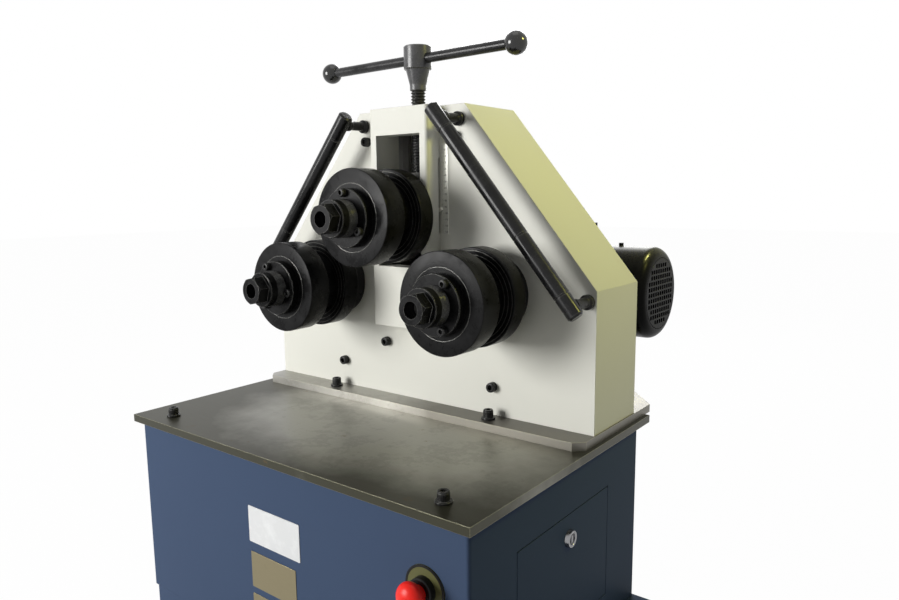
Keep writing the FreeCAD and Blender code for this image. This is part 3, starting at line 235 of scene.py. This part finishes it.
def ground_plate(name, body, oil_and_shade_colour, rust, roughness, spots, wiped_and_lit_centre, wiped_and_lit_size, metal=0.8):
    """Surface-ground steel: long grinding marks, a dark film around a lighter middle that is partly oil and
    partly painted light and reflection, a little rust, and edges lightened as painted highlights.
    """
    finish = Finish(name, "ground_steel", {"Metallic": metal, "Specular IOR Level": 0.3})
    marks = finish.noise(1.0, 3.0, 0.6, finish.stretched((14.0, 1600.0, 60.0)))
    cross = finish.noise(1.0, 2.0, 0.5, finish.stretched((1200.0, 10.0, 60.0)))
    smears = finish.noise(6.0, 5.0, 0.62)
    # Darker film away from a lighter middle: partly a real oil film, partly painted light and reflection set
    # where light falls on the plate.
    across = tuple(1 / size for size in wiped_and_lit_size)
    from_centre = finish.stretched(across, wiped_and_lit_centre)
    from_middle = finish.node("VectorMath", {"operation": "LENGTH"}, [from_centre], "Value")
    film = finish.ramp(from_middle + (smears - 0.5) * 0.7, (0.60, 0), (1.35, 1))
    freckles = finish.ramp(finish.noise(34.0, 6.0, 0.7), (spots, 0), (spots + 0.07, 1))
    rings = finish.ramp(finish.noise(11.0, 7.0, 0.75), (0.50, 0), (0.56, 1), (0.62, 0))
    base = finish.mixed(film, body, oil_and_shade_colour)
    base = finish.mixed(marks * 0.30, base, oil_and_shade_colour)
    base = finish.mixed(rings * 0.25, base, oil_and_shade_colour)
    base = finish.mixed(freckles * 0.55, base, rust)
    # Edges lightened towards olive-gold: a painted highlight along the plate's chamfers.
    bright = finish.edges(0.0012)
    finish.set("Base Color", finish.mixed(bright * 0.55, base, colour(0.40, 0.39, 0.27)))
    finish.set("Roughness", roughness + film * 0.08 + freckles * 0.15 + marks * 0.10)
    lines = finish.bumped(marks + cross * 0.4, 0.00003, 0.30, finish.rounded(0.0010))
    finish.bumped(smears, 0.0006, 0.10, lines)
    return finish


def black_oxide(name, centre, axis, body=0.006, roughness=0.24, gloss=0.08, edge_rub_and_highlight=0.30, ring_scale=900.0):
    """Turned and blackened steel: faint lathe rings, cloudy oxide, and worn edges whose light colour is partly
    a painted highlight.
    """
    finish = Finish(name, "black_steel", {"Specular IOR Level": gloss})
    rings = finish.lathe_marks(centre, axis, ring_scale)
    cloud = finish.ramp(finish.noise(24.0, 6.0, 0.68), (0.36, 0), (0.66, 1))
    prints = finish.ramp(finish.noise(70.0, 6.0, 0.7), (0.54, 0), (0.66, 1))
    # Mask of the edges: partly real wear, partly a painted highlight along rims and chamfers.
    rubbed_and_highlit_edges = finish.edges(0.0009)
    dark = colour(body, body, body * 1.05)
    light = colour(body * 3.6, body * 3.6, body * 3.8)
    base = finish.mixed(cloud * 0.75 + rings * 0.25 + prints * 0.20, dark, light)
    # Edges take a light metallic colour: worn steel and a painted highlight together.
    finish.set("Base Color", finish.mixed(rubbed_and_highlit_edges * 0.8, base, colour(edge_rub_and_highlight, edge_rub_and_highlight, edge_rub_and_highlight * 0.94)))
    finish.set("Metallic", rubbed_and_highlit_edges * 0.6)
    finish.set("Roughness", roughness + cloud * 0.22 + prints * 0.10 - rubbed_and_highlit_edges * 0.08)
    finish.bumped(rings, 0.00004, 0.35, finish.rounded(0.0009))
    return finish


def machined_steel(name, slot, body, roughness, centre=(0, 0, 0), axis=(0, 1, 0), ring_scale=1300.0):
    """Bare machined steel: tool marks and a thin film of oil."""
    finish = Finish(name, slot, {"Metallic": 0.9, "Specular IOR Level": 0.5})
    rings = finish.lathe_marks(centre, axis, ring_scale)
    film = finish.noise(22.0, 4.0, 0.6)
    base = finish.mixed(film * 0.6, body, colour(body[0] * 0.45, body[1] * 0.43, body[2] * 0.38))
    finish.set("Base Color", base)
    finish.set("Roughness", roughness + film * 0.18)
    finish.bumped(rings + film, 0.00002, 0.35, finish.rounded(0.0006))
    return finish


def plated(name, slot, body, roughness):
    """Plated or rolled bright metal with a fine grain and fingerprints."""
    finish = Finish(name, slot, {"Metallic": 0.95})
    grain = finish.noise(1.0, 3.0, 0.6, finish.stretched((70.0, 1500.0, 1500.0)))
    prints = finish.ramp(finish.noise(45.0, 5.0, 0.7), (0.55, 0), (0.72, 1))
    dull = colour(body[0] * 0.72, body[1] * 0.72, body[2] * 0.70)
    finish.set("Base Color", finish.mixed(grain * 0.4 + prints * 0.3, body, dull))
    finish.set("Roughness", roughness + prints * 0.14 + grain * 0.06)
    finish.bumped(grain, 0.00002, 0.3, finish.rounded(0.0004))
    return finish


def moulded(name, slot, body, roughness, gloss=0.3, grain_scale=700.0, grain=0.00004):
    """Moulded plastic with a fine spark-eroded grain and handling marks."""
    finish = Finish(name, slot, {"Specular IOR Level": gloss})
    fine = finish.noise(grain_scale, 2.0, 0.5)
    marks = finish.noise(30.0, 5.0, 0.65)
    worn = colour(*(min(1, share * 1.35 + 0.006) for share in body[:3]))
    finish.set("Base Color", finish.mixed(finish.ramp(marks, (0.5, 0), (0.8, 1)) * 0.5, body, worn))
    finish.set("Roughness", roughness + marks * 0.12)
    finish.bumped(fine, grain, 0.5, finish.rounded(0.0006))
    return finish


def cast_paint(name, slot, body, roughness, coarse, gloss=0.12):
    """Enamel on a casting: the sand's texture shows through."""
    finish = Finish(name, slot, {"Specular IOR Level": gloss})
    sand = finish.noise(260.0, 4.0, 0.6)
    cloud = finish.noise(9.0, 4.0, 0.6)
    lighter = colour(body[0] * 2.0 + 0.004, body[1] * 2.0 + 0.004, body[2] * 2.0 + 0.004)
    finish.set("Base Color", finish.mixed(cloud * 0.5, body, lighter))
    finish.set("Roughness", roughness + cloud * 0.06 + sand * 0.04)
    finish.bumped(sand, coarse, 0.6, finish.rounded(0.0012))
    return finish


cream = colour(0.800, 0.800, 0.735)
cream_shade = colour(0.745, 0.740, 0.660)
blue = colour(0.058, 0.086, 0.150)
blue_shade = colour(0.051, 0.074, 0.132)

cream_paint = sprayed_paint("cream enamel", "cream_paint", cream, cream_shade, 0.38, 0.20)
blue_paint = sprayed_paint("blue enamel", "blue_paint", blue, blue_shade, 0.42, 0.015)
# The table's lighter middle is partly a painted reflection of the head; its darker film away from the middle
# is partly painted shade.
table_steel = ground_plate("oiled table steel with painted reflection", colour(0.29, 0.285, 0.250), colour(0.045, 0.044, 0.030),
                           colour(0.150, 0.085, 0.035), 0.26, 0.66,
                           (0.05, -0.05, 0.4), (0.36, 0.19, 1.0), 0.75)
# The flange is lighter towards the left, where the key lamp falls, and darker in the middle and right: painted
# light and shade over its oil film.
flange_steel = ground_plate("ground flange steel", colour(0.40, 0.39, 0.36), colour(0.165, 0.157, 0.137),
                            colour(0.22, 0.15, 0.08), 0.30, 0.70,
                            (-0.25, 0.03, 0.41), (0.32, 0.60, 1.0), 0.85)
screw_black = black_oxide("screw black", (0, 0, 0), (0, 1, 0), 0.008, 0.20, 0.14, 0.16)
nut_bronze = machined_steel("machined bronze", "bronze", colour(0.50, 0.32, 0.13), 0.30,
                            (0, spindle_y, 0), (0, 0, 1))
# The slide block's steel is made near black: painted shade of the head's dark interior, beyond its film of
# oil.
slide_steel_painted_shade = machined_steel("slide steel darkened as painted shade", "bare_steel", colour(0.035, 0.035, 0.033), 0.34)
inner_steel = machined_steel("machined steel", "bare_steel", colour(0.42, 0.42, 0.41), 0.30)
zinc = plated("zinc plate", "zinc_steel", colour(0.50, 0.51, 0.53), 0.32)
bright_chrome = plated("bright chrome", "chrome", colour(0.30, 0.30, 0.31), 0.08)
scale_metal = plated("satin scale", "scale_metal", colour(0.74, 0.74, 0.70), 0.38)
pointer_metal = plated("pointer metal", "pointer_brass", colour(0.72, 0.71, 0.66), 0.24)
knob_plastic = moulded("knob plastic", "black_plastic", colour(0.010, 0.010, 0.010), 0.08, 0.55,
                       500.0, 0.00001)
black_plastic = moulded("black plastic", "black_plastic", colour(0.010, 0.010, 0.010), 0.34, 0.15)
legend_gold = moulded("legend plate", "yellow_plastic", colour(0.125, 0.125, 0.050), 0.36, 0.12)
stop_red = moulded("stop red", "red_plastic", colour(0.95, 0.022, 0.014), 0.24, 0.2, 800.0, 0.00001)
motor_black = cast_paint("motor enamel", "motor_black", colour(0.0012, 0.0012, 0.0012), 0.22, 0.00001, 0.04)
gear_enamel = cast_paint("reducer enamel", "gear_grey", colour(0.020, 0.020, 0.021), 0.32, 0.00012)
label_white = moulded("bare white plate", "blue_paint", colour(0.72, 0.73, 0.74), 0.30, 0.3, 900.0, 0.00001)
plate_gold = plated("bare gold plate", "blue_paint", colour(0.25, 0.215, 0.13), 0.36)
ink = moulded("black ink", "scale_metal", colour(0.015, 0.015, 0.015), 0.55)

roller_centres = {"left": (-shaft_x, 0, lower_axis_z), "right": (shaft_x, 0, lower_axis_z),
                  "upper": (0, 0, upper_axis_z)}


def dress(finish, *nodes):
    """Give nodes of the frame this finish on all their slots."""
    for node in nodes:
        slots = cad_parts[node].material_slots
        for slot in slots:
            slot.material = finish.material


dress(blue_paint, "base_plinth", "cabinet_shell", "side_door")
dress(cream_paint, "head_shell", "head_rear_plate", "slide_box")
dress(table_steel, "table_plate")
dress(flange_steel, "base_flange")
# The slide block sits deep inside the head; its near-black colour is painted shade.
dress(slide_steel_painted_shade, "slide_block")
dress(inner_steel, "guide_rails", "shaft_bearings", "slide_bearings")
dress(nut_bronze, "spindle_nut")
dress(zinc, "door_hinge", "electrics_panel")
dress(bright_chrome, "door_lock")
dress(scale_metal, "ruler_scale")
dress(pointer_metal, "scale_pointer")
dress(knob_plastic, "ball_knobs")
dress(black_plastic, "stop_body", "cable_gland", "motor_fan", "switchgear")
dress(motor_black, "motor_body", "fan_cover", "fan_grille", "terminal_box")
dress(gear_enamel, "gearbox_housing")
dress(legend_gold, "stop_legend")
dress(stop_red, "stop_mushroom")
dress(screw_black, "table_bolts", "head_screws", "bar_posts", "bearing_caps")
dress(black_oxide("handle black", (0, spindle_y, 0), (0, 0, 1), 0.020, 0.16, 0.55, 0.24), "spindle_screw",
      "handle_hub")
bar_turn = math.radians(-2.1)
bar_line = (math.cos(bar_turn), math.sin(bar_turn), 0)
dress(black_oxide("tommy bar black", (0, spindle_y, handle_z), bar_line, 0.009, 0.12, 0.22, 0.24), "tommy_bar")
roller_blacks = {}
for side, centre in roller_centres.items():
    turned_black = black_oxide(side + " roller black", centre, (0, 1, 0), 0.0035, 0.19, 0.07, 0.28)
    roller_blacks[side] = turned_black
    dress(turned_black, side + "_roller_discs", side + "_roller_spacer", side + "_clamp_collar",
          side + "_collar_screws", side + "_clamp_nut")
    dress(machined_steel(side + " shaft steel", "bare_steel", colour(0.36, 0.36, 0.35), 0.28, centre),
          side + "_shaft")
for side in ("left", "right"):
    dress(machined_steel(side + " gear steel", "bare_steel", colour(0.34, 0.34, 0.33), 0.26,
                         roller_centres[side]), side + "_gear")
    turn = 1 if side == "right" else -1
    bar_black = black_oxide(side + " bar black", (turn * guide_top[0], guide_bar_y, guide_top[1]),
                            (turn * guide_line[0], 0, guide_line[1]), 0.004, 0.12, 0.20, 0.24)
    dress(bar_black, side + "_guide_bar")
dress(machined_steel("pinion steel", "bare_steel", colour(0.34, 0.34, 0.33), 0.26, (0, 0, pinion_z)),
      "drive_pinion")


# Modelling

def into_piece(mesh_data, name, body, finish, replaced=(), crease=32.0):
    """Close the modelled shape, give it its finish and let it ride on a body."""
    bmesh.ops.remove_doubles(mesh_data, verts=mesh_data.verts, dist=1e-6)
    bmesh.ops.recalc_face_normals(mesh_data, faces=mesh_data.faces)
    mesh = bpy.data.meshes.new(name)
    mesh_data.to_mesh(mesh)
    mesh_data.free()
    for face in mesh.polygons:
        face.use_smooth = True
    mesh.set_sharp_from_angle(angle=math.radians(crease))
    mesh.materials.append(finish.material)
    piece = bpy.data.objects.new(name, mesh)
    bpy.context.scene.collection.objects.link(piece)
    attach(piece, body)
    if replaced:
        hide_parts(*replaced)
    return piece


def along(direction, base):
    """Matrix that stands a piece built on Z on a base, along a direction."""
    turn = Vector((0, 0, 1)).rotation_difference(Vector(direction)).to_matrix().to_4x4()
    return Matrix.Translation(Vector(base)) @ turn


def spun(shape, profile, place, steps=64):
    """Spin a profile of (radius, height) points about Z, put it in place and add it to the shape."""
    part = bmesh.new()
    points = [part.verts.new((radius, 0, height)) for radius, height in profile]
    edges = [part.edges.new(pair) for pair in zip(points, points[1:])]
    bmesh.ops.spin(part, geom=points + edges, cent=(0, 0, 0), axis=(0, 0, 1), angle=2 * math.pi, steps=steps,
                   use_merge=True)
    added(shape, part, place)


def added(shape, part, place):
    """Move a finished part to its place and add it to the shape."""
    bmesh.ops.remove_doubles(part, verts=part.verts, dist=1e-6)
    bmesh.ops.transform(part, matrix=place, verts=part.verts)
    mesh = bpy.data.meshes.new("part")
    part.to_mesh(mesh)
    part.free()
    shape.from_mesh(mesh)
    bpy.data.meshes.remove(mesh)


def quarter(corner, radius, start, steps=5):
    """Points of a quarter round about a corner's centre, from the start angle on."""
    angles = [math.radians(start + 90.0 * step / steps) for step in range(steps + 1)]
    return [(corner[0] + radius * math.cos(a), corner[1] + radius * math.sin(a)) for a in angles]


def block(shape, low, high, bevel=0.0, steps=2):
    """Box between two corners with all its edges rounded."""
    part = bmesh.new()
    size = Vector(high) - Vector(low)
    bmesh.ops.create_cube(part, size=1.0)
    bmesh.ops.scale(part, vec=size, verts=part.verts)
    if bevel:
        bmesh.ops.bevel(part, geom=part.edges[:], offset=bevel, segments=steps, profile=0.5, affect="EDGES",
                        material=-1)
    added(shape, part, Matrix.Translation((Vector(high) + Vector(low)) / 2))


def socket_head(shape, radius, height, flats, depth, place):
    """Knurled cap-screw head with a rounded rim and a hexagon socket, standing on Z."""
    part = bmesh.new()
    count = 48
    step = 2 * math.pi / count
    ring = bmesh.ops.create_circle(part, cap_ends=True, segments=count, radius=radius)["verts"]
    for vert in ring:
        if round(math.atan2(vert.co.y, vert.co.x) / step) % 2:
            vert.co *= 0.965

    def raised(rise, reach):
        """Extrude the top face by a rise, to the reach that each direction has."""
        top = max(part.faces, key=lambda face: (face.calc_center_median().z, face.index))
        lifted = bmesh.ops.extrude_face_region(part, geom=[top])["geom"]
        part.faces.remove(top)
        for vert in lifted:
            if isinstance(vert, bmesh.types.BMVert):
                angle = math.atan2(vert.co.y, vert.co.x)
                length = reach(angle, vert.co.xy.length)
                vert.co = (length * math.cos(angle), length * math.sin(angle), vert.co.z + rise)
        part.faces.index_update()

    def hexagon_reach(angle, length):
        sector = (angle + math.pi / 6) % (math.pi / 3) - math.pi / 6
        return flats / 2 / math.cos(sector)

    raised(height * 0.78, lambda angle, length: length)
    raised(height * 0.02, lambda angle, length: radius * 0.955)
    raised(height * 0.10, lambda angle, length: radius * 0.955)
    raised(height * 0.07, lambda angle, length: radius * 0.925)
    raised(height * 0.03, lambda angle, length: radius * 0.860)
    raised(0.00001, hexagon_reach)
    raised(-depth, lambda angle, length: length)
    added(shape, part, place)


def hexagon(shape, flats, height, place):
    """Hexagon head or nut with its edges rounded."""
    part = bmesh.new()
    corner = flats / math.sqrt(3)
    bmesh.ops.create_cone(part, cap_ends=True, segments=6, radius1=corner, radius2=corner, depth=height)
    bmesh.ops.translate(part, verts=part.verts, vec=(0, 0, height / 2))
    bmesh.ops.bevel(part, geom=part.edges[:], offset=height * 0.09, segments=2, profile=0.5, affect="EDGES",
                    material=-1)
    added(shape, part, place)


# Screws and bolts

def upright_bolts(name, places, seat, nut_seat, node):
    """Cap screws with washers on the plate and nuts under it."""
    shape = bmesh.new()
    for x, y in places:
        spun(shape, [(0, 0), (washer_radius, 0), (washer_radius, washer_thickness - 0.0005),
                     (washer_radius - 0.0005, washer_thickness), (0, washer_thickness)],
             along((0, 0, 1), (x, y, seat)), 40)
        head_seat = seat + washer_thickness
        socket_head(shape, bolt_head_radius, bolt_head_height, socket_flats, socket_depth,
                    along((0, 0, 1), (x, y, head_seat)))
        end = nut_seat - 0.010
        spun(shape, [(0, 0), (shank_radius, 0), (shank_radius, head_seat - end), (0, head_seat - end)],
             along((0, 0, 1), (x, y, end)), 24)
        hexagon(shape, 0.017, 0.008, along((0, 0, -1), (x, y, nut_seat)))
    return into_piece(shape, name, "machine", screw_black, (node,))


back_bolt_y = 0.246
table_under = table_top - table_thickness
upright_bolts("table_cap_screws", [(-0.286, -0.207), (0.286, -0.207)], table_top, table_under - 0.002,
              "table_bolts")
upright_bolts("back_cap_screws", [(-0.286, back_bolt_y), (0.286, back_bolt_y)], head_base, table_under,
              "table_bolts")
upright_bolts("flange_cap_screws", [(side * shaft_x, y) for side in (-1, 1) for y in (0.054, back_bolt_y)],
              head_base, table_under, "table_bolts")

face_screws = [(0.165, 0.459), (0.059, 0.5065), (0.0955, 0.851)]
plate_screws = [(0.323, 0.433), (0.323, 0.604), (0.108, 0.866)]
shape = bmesh.new()
for x, z in face_screws:
    for side in (-1, 1):
        socket_head(shape, face_head_radius, face_head_height, socket_flats, socket_depth,
                    along((0, -1, 0), (side * x, head_front, z)))
into_piece(shape, "face_cap_screws", "machine", screw_black, ("head_screws",))
shape = bmesh.new()
for x, z in plate_screws:
    for side in (-1, 1):
        socket_head(shape, face_head_radius, face_head_height, socket_flats, socket_depth,
                    along((0, 1, 0), (side * x, head_back, z)))
into_piece(shape, "rear_cap_screws", "machine", screw_black, ("head_screws",))

collar_phases = {"left": 112.0, "right": 57.0, "upper": 90.0}
for side, (x, _, z) in roller_centres.items():
    shape = bmesh.new()
    for step in range(3):
        angle = math.radians(collar_phases[side] + 120.0 * step)
        seat = (x + collar_screw_circle * math.cos(angle), collar_front,
                z + collar_screw_circle * math.sin(angle))
        socket_head(shape, 0.0065, 0.008, 0.0064, 0.005, along((0, -1, 0), seat))
    into_piece(shape, side + "_collar_cap_screws", side + "_roller", screw_black, (side + "_collar_screws",))


# Threads on the clamp nuts and on the spindle

def thread_rings(radius, depth, start, end, pitch):
    """Profile of a run of thread from start to end along the axis."""
    count = int((end - start) / pitch)
    points = []
    for turn in range(count):
        at = start + turn * pitch
        points += [(radius - depth, at), (radius, at + pitch * 0.35), (radius, at + pitch * 0.60)]
    return points + [(radius - depth, start + count * pitch)]


for side, (x, _, z) in roller_centres.items():
    shape = bmesh.new()
    profile = [(0.0262, 0.0006)] + thread_rings(0.0290, 0.0009, 0.0006, 0.0175, 0.0015) + [(0.0262, 0.0175)]
    spun(shape, profile + [profile[0]], along((0, -1, 0), (x, collar_front, z)), 72)
    into_piece(shape, side + "_nut_thread", side + "_roller", screw_black, crease=25.0)

# Turned discs of the rollers


def turned_disc(shape, front, back, face_grooves, place):
    """Roller disc with rounded rims and the fine lines that the turning tool leaves on its front."""
    round_off = 0.0013
    profile = [(roller_bore, front)]
    for radius in face_grooves:
        profile += [(radius - 0.0004, front), (radius, front + 0.0003), (radius + 0.0004, front)]
    profile += quarter((roller_radius - round_off, front + round_off), round_off, -90.0, 4)
    profile += quarter((roller_radius - round_off, back - round_off), round_off, 0.0, 4)
    profile += [(roller_bore, back), (roller_bore, front)]
    spun(shape, profile, place, 160)


for side, (x, _, z) in roller_centres.items():
    shape = bmesh.new()
    place = along((0, 1, 0), (x, 0, z))
    turned_disc(shape, roller_front, groove_front, (0.0525,), place)
    turned_disc(shape, groove_back, roller_back, (0.0575, 0.0640, 0.0705), place)
    into_piece(shape, side + "_turned_discs", side + "_roller", roller_blacks[side],
               (side + "_roller_discs",))

shape = bmesh.new()
spindle_profile = [(0, 0.7792), (0.016, 0.7792), (0.016, 0.7870), (0.009, 0.7870), (0.009, 0.7990)]
spindle_profile += thread_rings(0.0120, 0.0026, 0.7990, 0.9300, 0.005)
spindle_profile += [(0.0120, 0.9300), (0.0120, 0.9705), (0, 0.9705)]
spun(shape, spindle_profile, along((0, 0, 1), (0, spindle_y, 0)), 48)
into_piece(shape, "spindle_thread", "spindle", screw_black, ("spindle_screw",), 25.0)


# Stop button, lock, plates and scale

shape = bmesh.new()
dome = [(0.0, 0.0400)]
dome += [(0.020 * math.sin(math.radians(a)), 0.0270 + 0.0130 * math.cos(math.radians(a)))
         for a in range(12, 91, 6)]
spun(shape, dome + [(0.0200, 0.0255), (0.0188, 0.0222), (0.0165, 0.0200), (0.0100, 0.0200),
                    (0.0100, -0.0020), (0, -0.0020)], along((0, -1, 0), (stop_x, cabinet_front, stop_z)), 72)
into_piece(shape, "stop_button_head", "stop_button", stop_red, ("stop_mushroom",))

shape = bmesh.new()
rim_profile = [(0.0268, 0.0015), (0.0268, 0.0018), (0.0298, 0.0018), (0.0300, 0.0013), (0.0300, 0.0002),
               (0.0268, 0.0002), (0.0268, 0.0015)]
spun(shape, rim_profile, along((0, -1, 0), (stop_x, cabinet_front, stop_z)), 96)
into_piece(shape, "stop_legend_rim", "machine", black_plastic)

shape = bmesh.new()
lock_profile = [(0.0080, 0.0030), (0.0080, 0.0055), (0.0085, 0.0060)]
lock_profile += quarter((0.0115, 0.0045), 0.0015, 90.0)[::-1][1:] + [(0.0130, 0.0002), (0.0090, 0.0002)]
lock_profile += [(0.0090, -0.0180), (0.0, -0.0180)]
spun(shape, [(0.0, 0.0030)] + lock_profile, along((1, 0, 0), (cabinet_side, lock_y, lock_z)), 56)
block(shape, (cabinet_side + 0.0028, lock_y - 0.0017, lock_z - 0.0055),
      (cabinet_side + 0.0052, lock_y + 0.0017, lock_z + 0.0055), 0.0007)
block(shape, (cabinet_side - 0.0200, lock_y - 0.007, lock_z - 0.007),
      (cabinet_side - 0.0170, lock_y + 0.042, lock_z + 0.007), 0.0010)
into_piece(shape, "lock_barrel", "door_lock", bright_chrome, ("door_lock",))


def front_plate(name, left, right, low, high, finish, thickness=0.0008):
    """Bare plate with rounded corners on the cabinet's front."""
    shape = bmesh.new()
    made = bmesh.ops.create_cube(shape, size=1.0)
    size = (right - left, thickness, high - low)
    middle = ((left + right) / 2, cabinet_front - thickness / 2 - small_gap / 2, (low + high) / 2)
    bmesh.ops.transform(shape, matrix=Matrix.Translation(middle) @ Matrix.Diagonal((*size, 1)),
                        verts=made["verts"])
    corners = [edge for edge in shape.edges if abs(edge.verts[0].co.y - edge.verts[1].co.y) > thickness / 2]
    bmesh.ops.bevel(shape, geom=corners, offset=0.0015, segments=4, profile=0.5, affect="EDGES", material=-1)
    rim = [edge for edge in shape.edges
           if abs(edge.verts[0].co.y - edge.verts[1].co.y) < 1e-6 and edge.verts[0].co.y < middle[1]]
    bmesh.ops.bevel(shape, geom=rim, offset=0.0002, segments=1, profile=0.5, affect="EDGES", material=-1)
    return into_piece(shape, name, "machine", finish)


front_plate("white_plate", -0.061, 0.051, 0.257, 0.313, label_white)
front_plate("gold_plate_upper", -0.059, 0.040, 0.186, 0.242, plate_gold)
front_plate("gold_plate_lower", -0.059, 0.040, 0.120, 0.1754, plate_gold)

ruler_face = head_front - 0.0008
shape = bmesh.new()
for step in range(69):
    z = ruler_low + 0.002 * step
    long_tick = step % 5 == 0
    length = 0.0055 if long_tick else 0.0030
    block(shape, (ruler_left, ruler_face - 0.00006, z - 0.00014),
          (ruler_left + length, ruler_face + 0.0002, z + 0.00014))
into_piece(shape, "scale_ticks", "machine", ink)


def scale_number(text, x, z, height):
    """Figure of the scale, made a mesh and stood on the strip's face."""
    curve = bpy.data.curves.new("figure", "FONT")
    curve.body = text
    curve.size = height
    curve.extrude = 0.00004
    curve.align_x = "LEFT"
    curve.align_y = "CENTER"
    letter = bpy.data.objects.new("figure", curve)
    mesh = bpy.data.meshes.new_from_object(letter)
    bpy.data.objects.remove(letter)
    mesh.transform(Matrix.Translation((x, ruler_face - 0.00004, z)) @ Matrix.Rotation(math.pi / 2, 4, "X"))
    return mesh


shape = bmesh.new()
for step in range(14):
    shape.from_mesh(scale_number(str(130 - 10 * step), 0.0722, ruler_low + 0.010 * step, 0.0042))
into_piece(shape, "scale_figures", "machine", ink)


# Motor cover and rear details

shape = bmesh.new()
shoulder = quarter((0.060, -0.017), 0.0170, 0.0, 12)
inner_line = [(0.0590, 0.0), (0.0590, -0.0012), (0.0712, -0.0062), (0.0762, -0.0172)]
spun(shape, [(0.0770, -0.0172)] + shoulder + inner_line + [(0.0770, -0.0172)],
     along((1, 0, 0), (motor_cover_start, motor_y, motor_z)), 96)
into_piece(shape, "fan_cover_shoulder", "machine", motor_black, crease=40.0)

shape = bmesh.new()
for side in (-1, 1):
    for step in range(4):
        angle = math.radians(45 + 90 * step)
        place = (side * shaft_x + cap_screw_circle * math.cos(angle), head_back + 0.008,
                 lower_axis_z + cap_screw_circle * math.sin(angle))
        socket_head(shape, 0.005, 0.005, 0.005, 0.003, along((0, 1, 0), place))
for step in range(6):
    angle = math.radians(30 + 60 * step)
    place = (pinion_cap_circle * math.cos(angle), head_back + 0.012,
             pinion_z + pinion_cap_circle * math.sin(angle))
    hexagon(shape, 0.013, 0.006, along((0, 1, 0), place))
into_piece(shape, "rear_small_screws", "machine", screw_black)


# Floor, light and camera

def seen_rays(nodes):
    """One for rays that the camera sees directly, in metal or through glass."""
    seen = nodes.node("LightPath", {}, [], "Is Camera Ray")
    seen = seen.either(nodes.node("LightPath", {}, [], "Is Glossy Ray"))
    return seen.either(nodes.node("LightPath", {}, [], "Is Transmission Ray"))


def studio_floor(glow_share):
    """Pale floor that shows white to the camera and keeps the machine's shadow."""
    shape = bmesh.new()
    bmesh.ops.create_grid(shape, x_segments=1, y_segments=1, size=14.0)
    mesh = bpy.data.meshes.new("studio_floor")
    shape.to_mesh(mesh)
    shape.free()
    floor = bpy.data.objects.new("studio_floor", mesh)
    bpy.context.scene.collection.objects.link(floor)
    material = bpy.data.materials.new("studio floor")
    nodes = Nodes(material, True)
    pale = nodes.node("BsdfDiffuse", {}, {"Color": (0.70, 0.70, 0.70, 1)})
    glow = nodes.node("Emission", {}, {"Color": (1, 1, 1, 1), "Strength": 1.0})
    surface = nodes.node("MixShader", {}, [seen_rays(nodes) * glow_share, pale, glow])
    nodes.node("OutputMaterial", {}, {"Surface": surface})
    mesh.materials.append(material)


def studio_world(level):
    """Even grey light, which the camera and the metal see as white."""
    world = bpy.data.worlds.new("studio")
    bpy.context.scene.world = world
    nodes = Nodes(world, True)
    ambient = nodes.node("Background", {}, {"Color": (1, 1, 1, 1), "Strength": level})
    backdrop = nodes.node("Background", {}, {"Color": (1, 1, 1, 1), "Strength": 1.0})
    surface = nodes.node("MixShader", {}, [seen_rays(nodes), ambient, backdrop])
    nodes.node("OutputWorld", {}, {"Surface": surface})


def softbox(name, place, target, size, power, tint, spread=180.0):
    data = bpy.data.lights.new(name, "AREA")
    data.shape = "RECTANGLE"
    data.size = size[0]
    data.size_y = size[1]
    data.energy = power
    data.color = tint
    data.spread = math.radians(spread)
    lamp = bpy.data.objects.new(name, data)
    bpy.context.scene.collection.objects.link(lamp)
    aim = (Vector(target) - Vector(place)).to_track_quat("-Z", "Y")
    lamp.matrix_world = Matrix.Translation(Vector(place)) @ aim.to_matrix().to_4x4()


def photo_camera():
    """Camera at the photograph's place; its view angle comes from the solved perspective."""
    location = Vector((0.7880, -0.8400, 0.7621))
    forward = Vector((-0.6057, 0.7822, -0.1465)).normalized()
    roll = -0.01012
    level = forward.cross(Vector((0, 0, 1))).normalized()
    upright = level.cross(forward)
    right = level * math.cos(roll) + upright * math.sin(roll)
    up = upright * math.cos(roll) - level * math.sin(roll)
    data = bpy.data.cameras.new("photo_camera")
    data.sensor_width = 36.0
    data.lens = 28.765
    data.clip_start = 0.01
    camera = bpy.data.objects.new("photo_camera", data)
    bpy.context.scene.collection.objects.link(camera)
    turn = Matrix((right, up, -forward)).transposed().to_4x4()
    camera.matrix_world = Matrix.Translation(location) @ turn
    bpy.context.scene.camera = camera


studio_floor(0.985)
studio_world(0.10)
softbox("key", (-1.8, -2.9, 1.15), (0, 0, 0.55), (1.5, 1.5), 117.0, (1.0, 0.995, 0.98))
softbox("olive_fill", (1.1, 0.35, 1.45), (0.2, 0.14, 0.85), (0.20, 0.20), 1.25, (1.0, 0.97, 0.22), 80.0)
softbox("motor_glint", (0.41, 0.37, 0.92), (0.31, 0.325, 0.65), (0.05, 0.05), 0.30, (1.0, 0.97, 0.30), 24.0)
softbox("top", (0.2, -0.2, 2.8), (0, 0, 0.5), (1.2, 1.2), 4.0, (1.0, 1.0, 0.96))
softbox("back", (-1.2, 2.6, 1.9), (0, 0.2, 0.5), (1.6, 1.6), 50.0, (1.0, 1.0, 1.0))
photo_camera()
bpy.context.scene.view_settings.view_transform = "Standard"
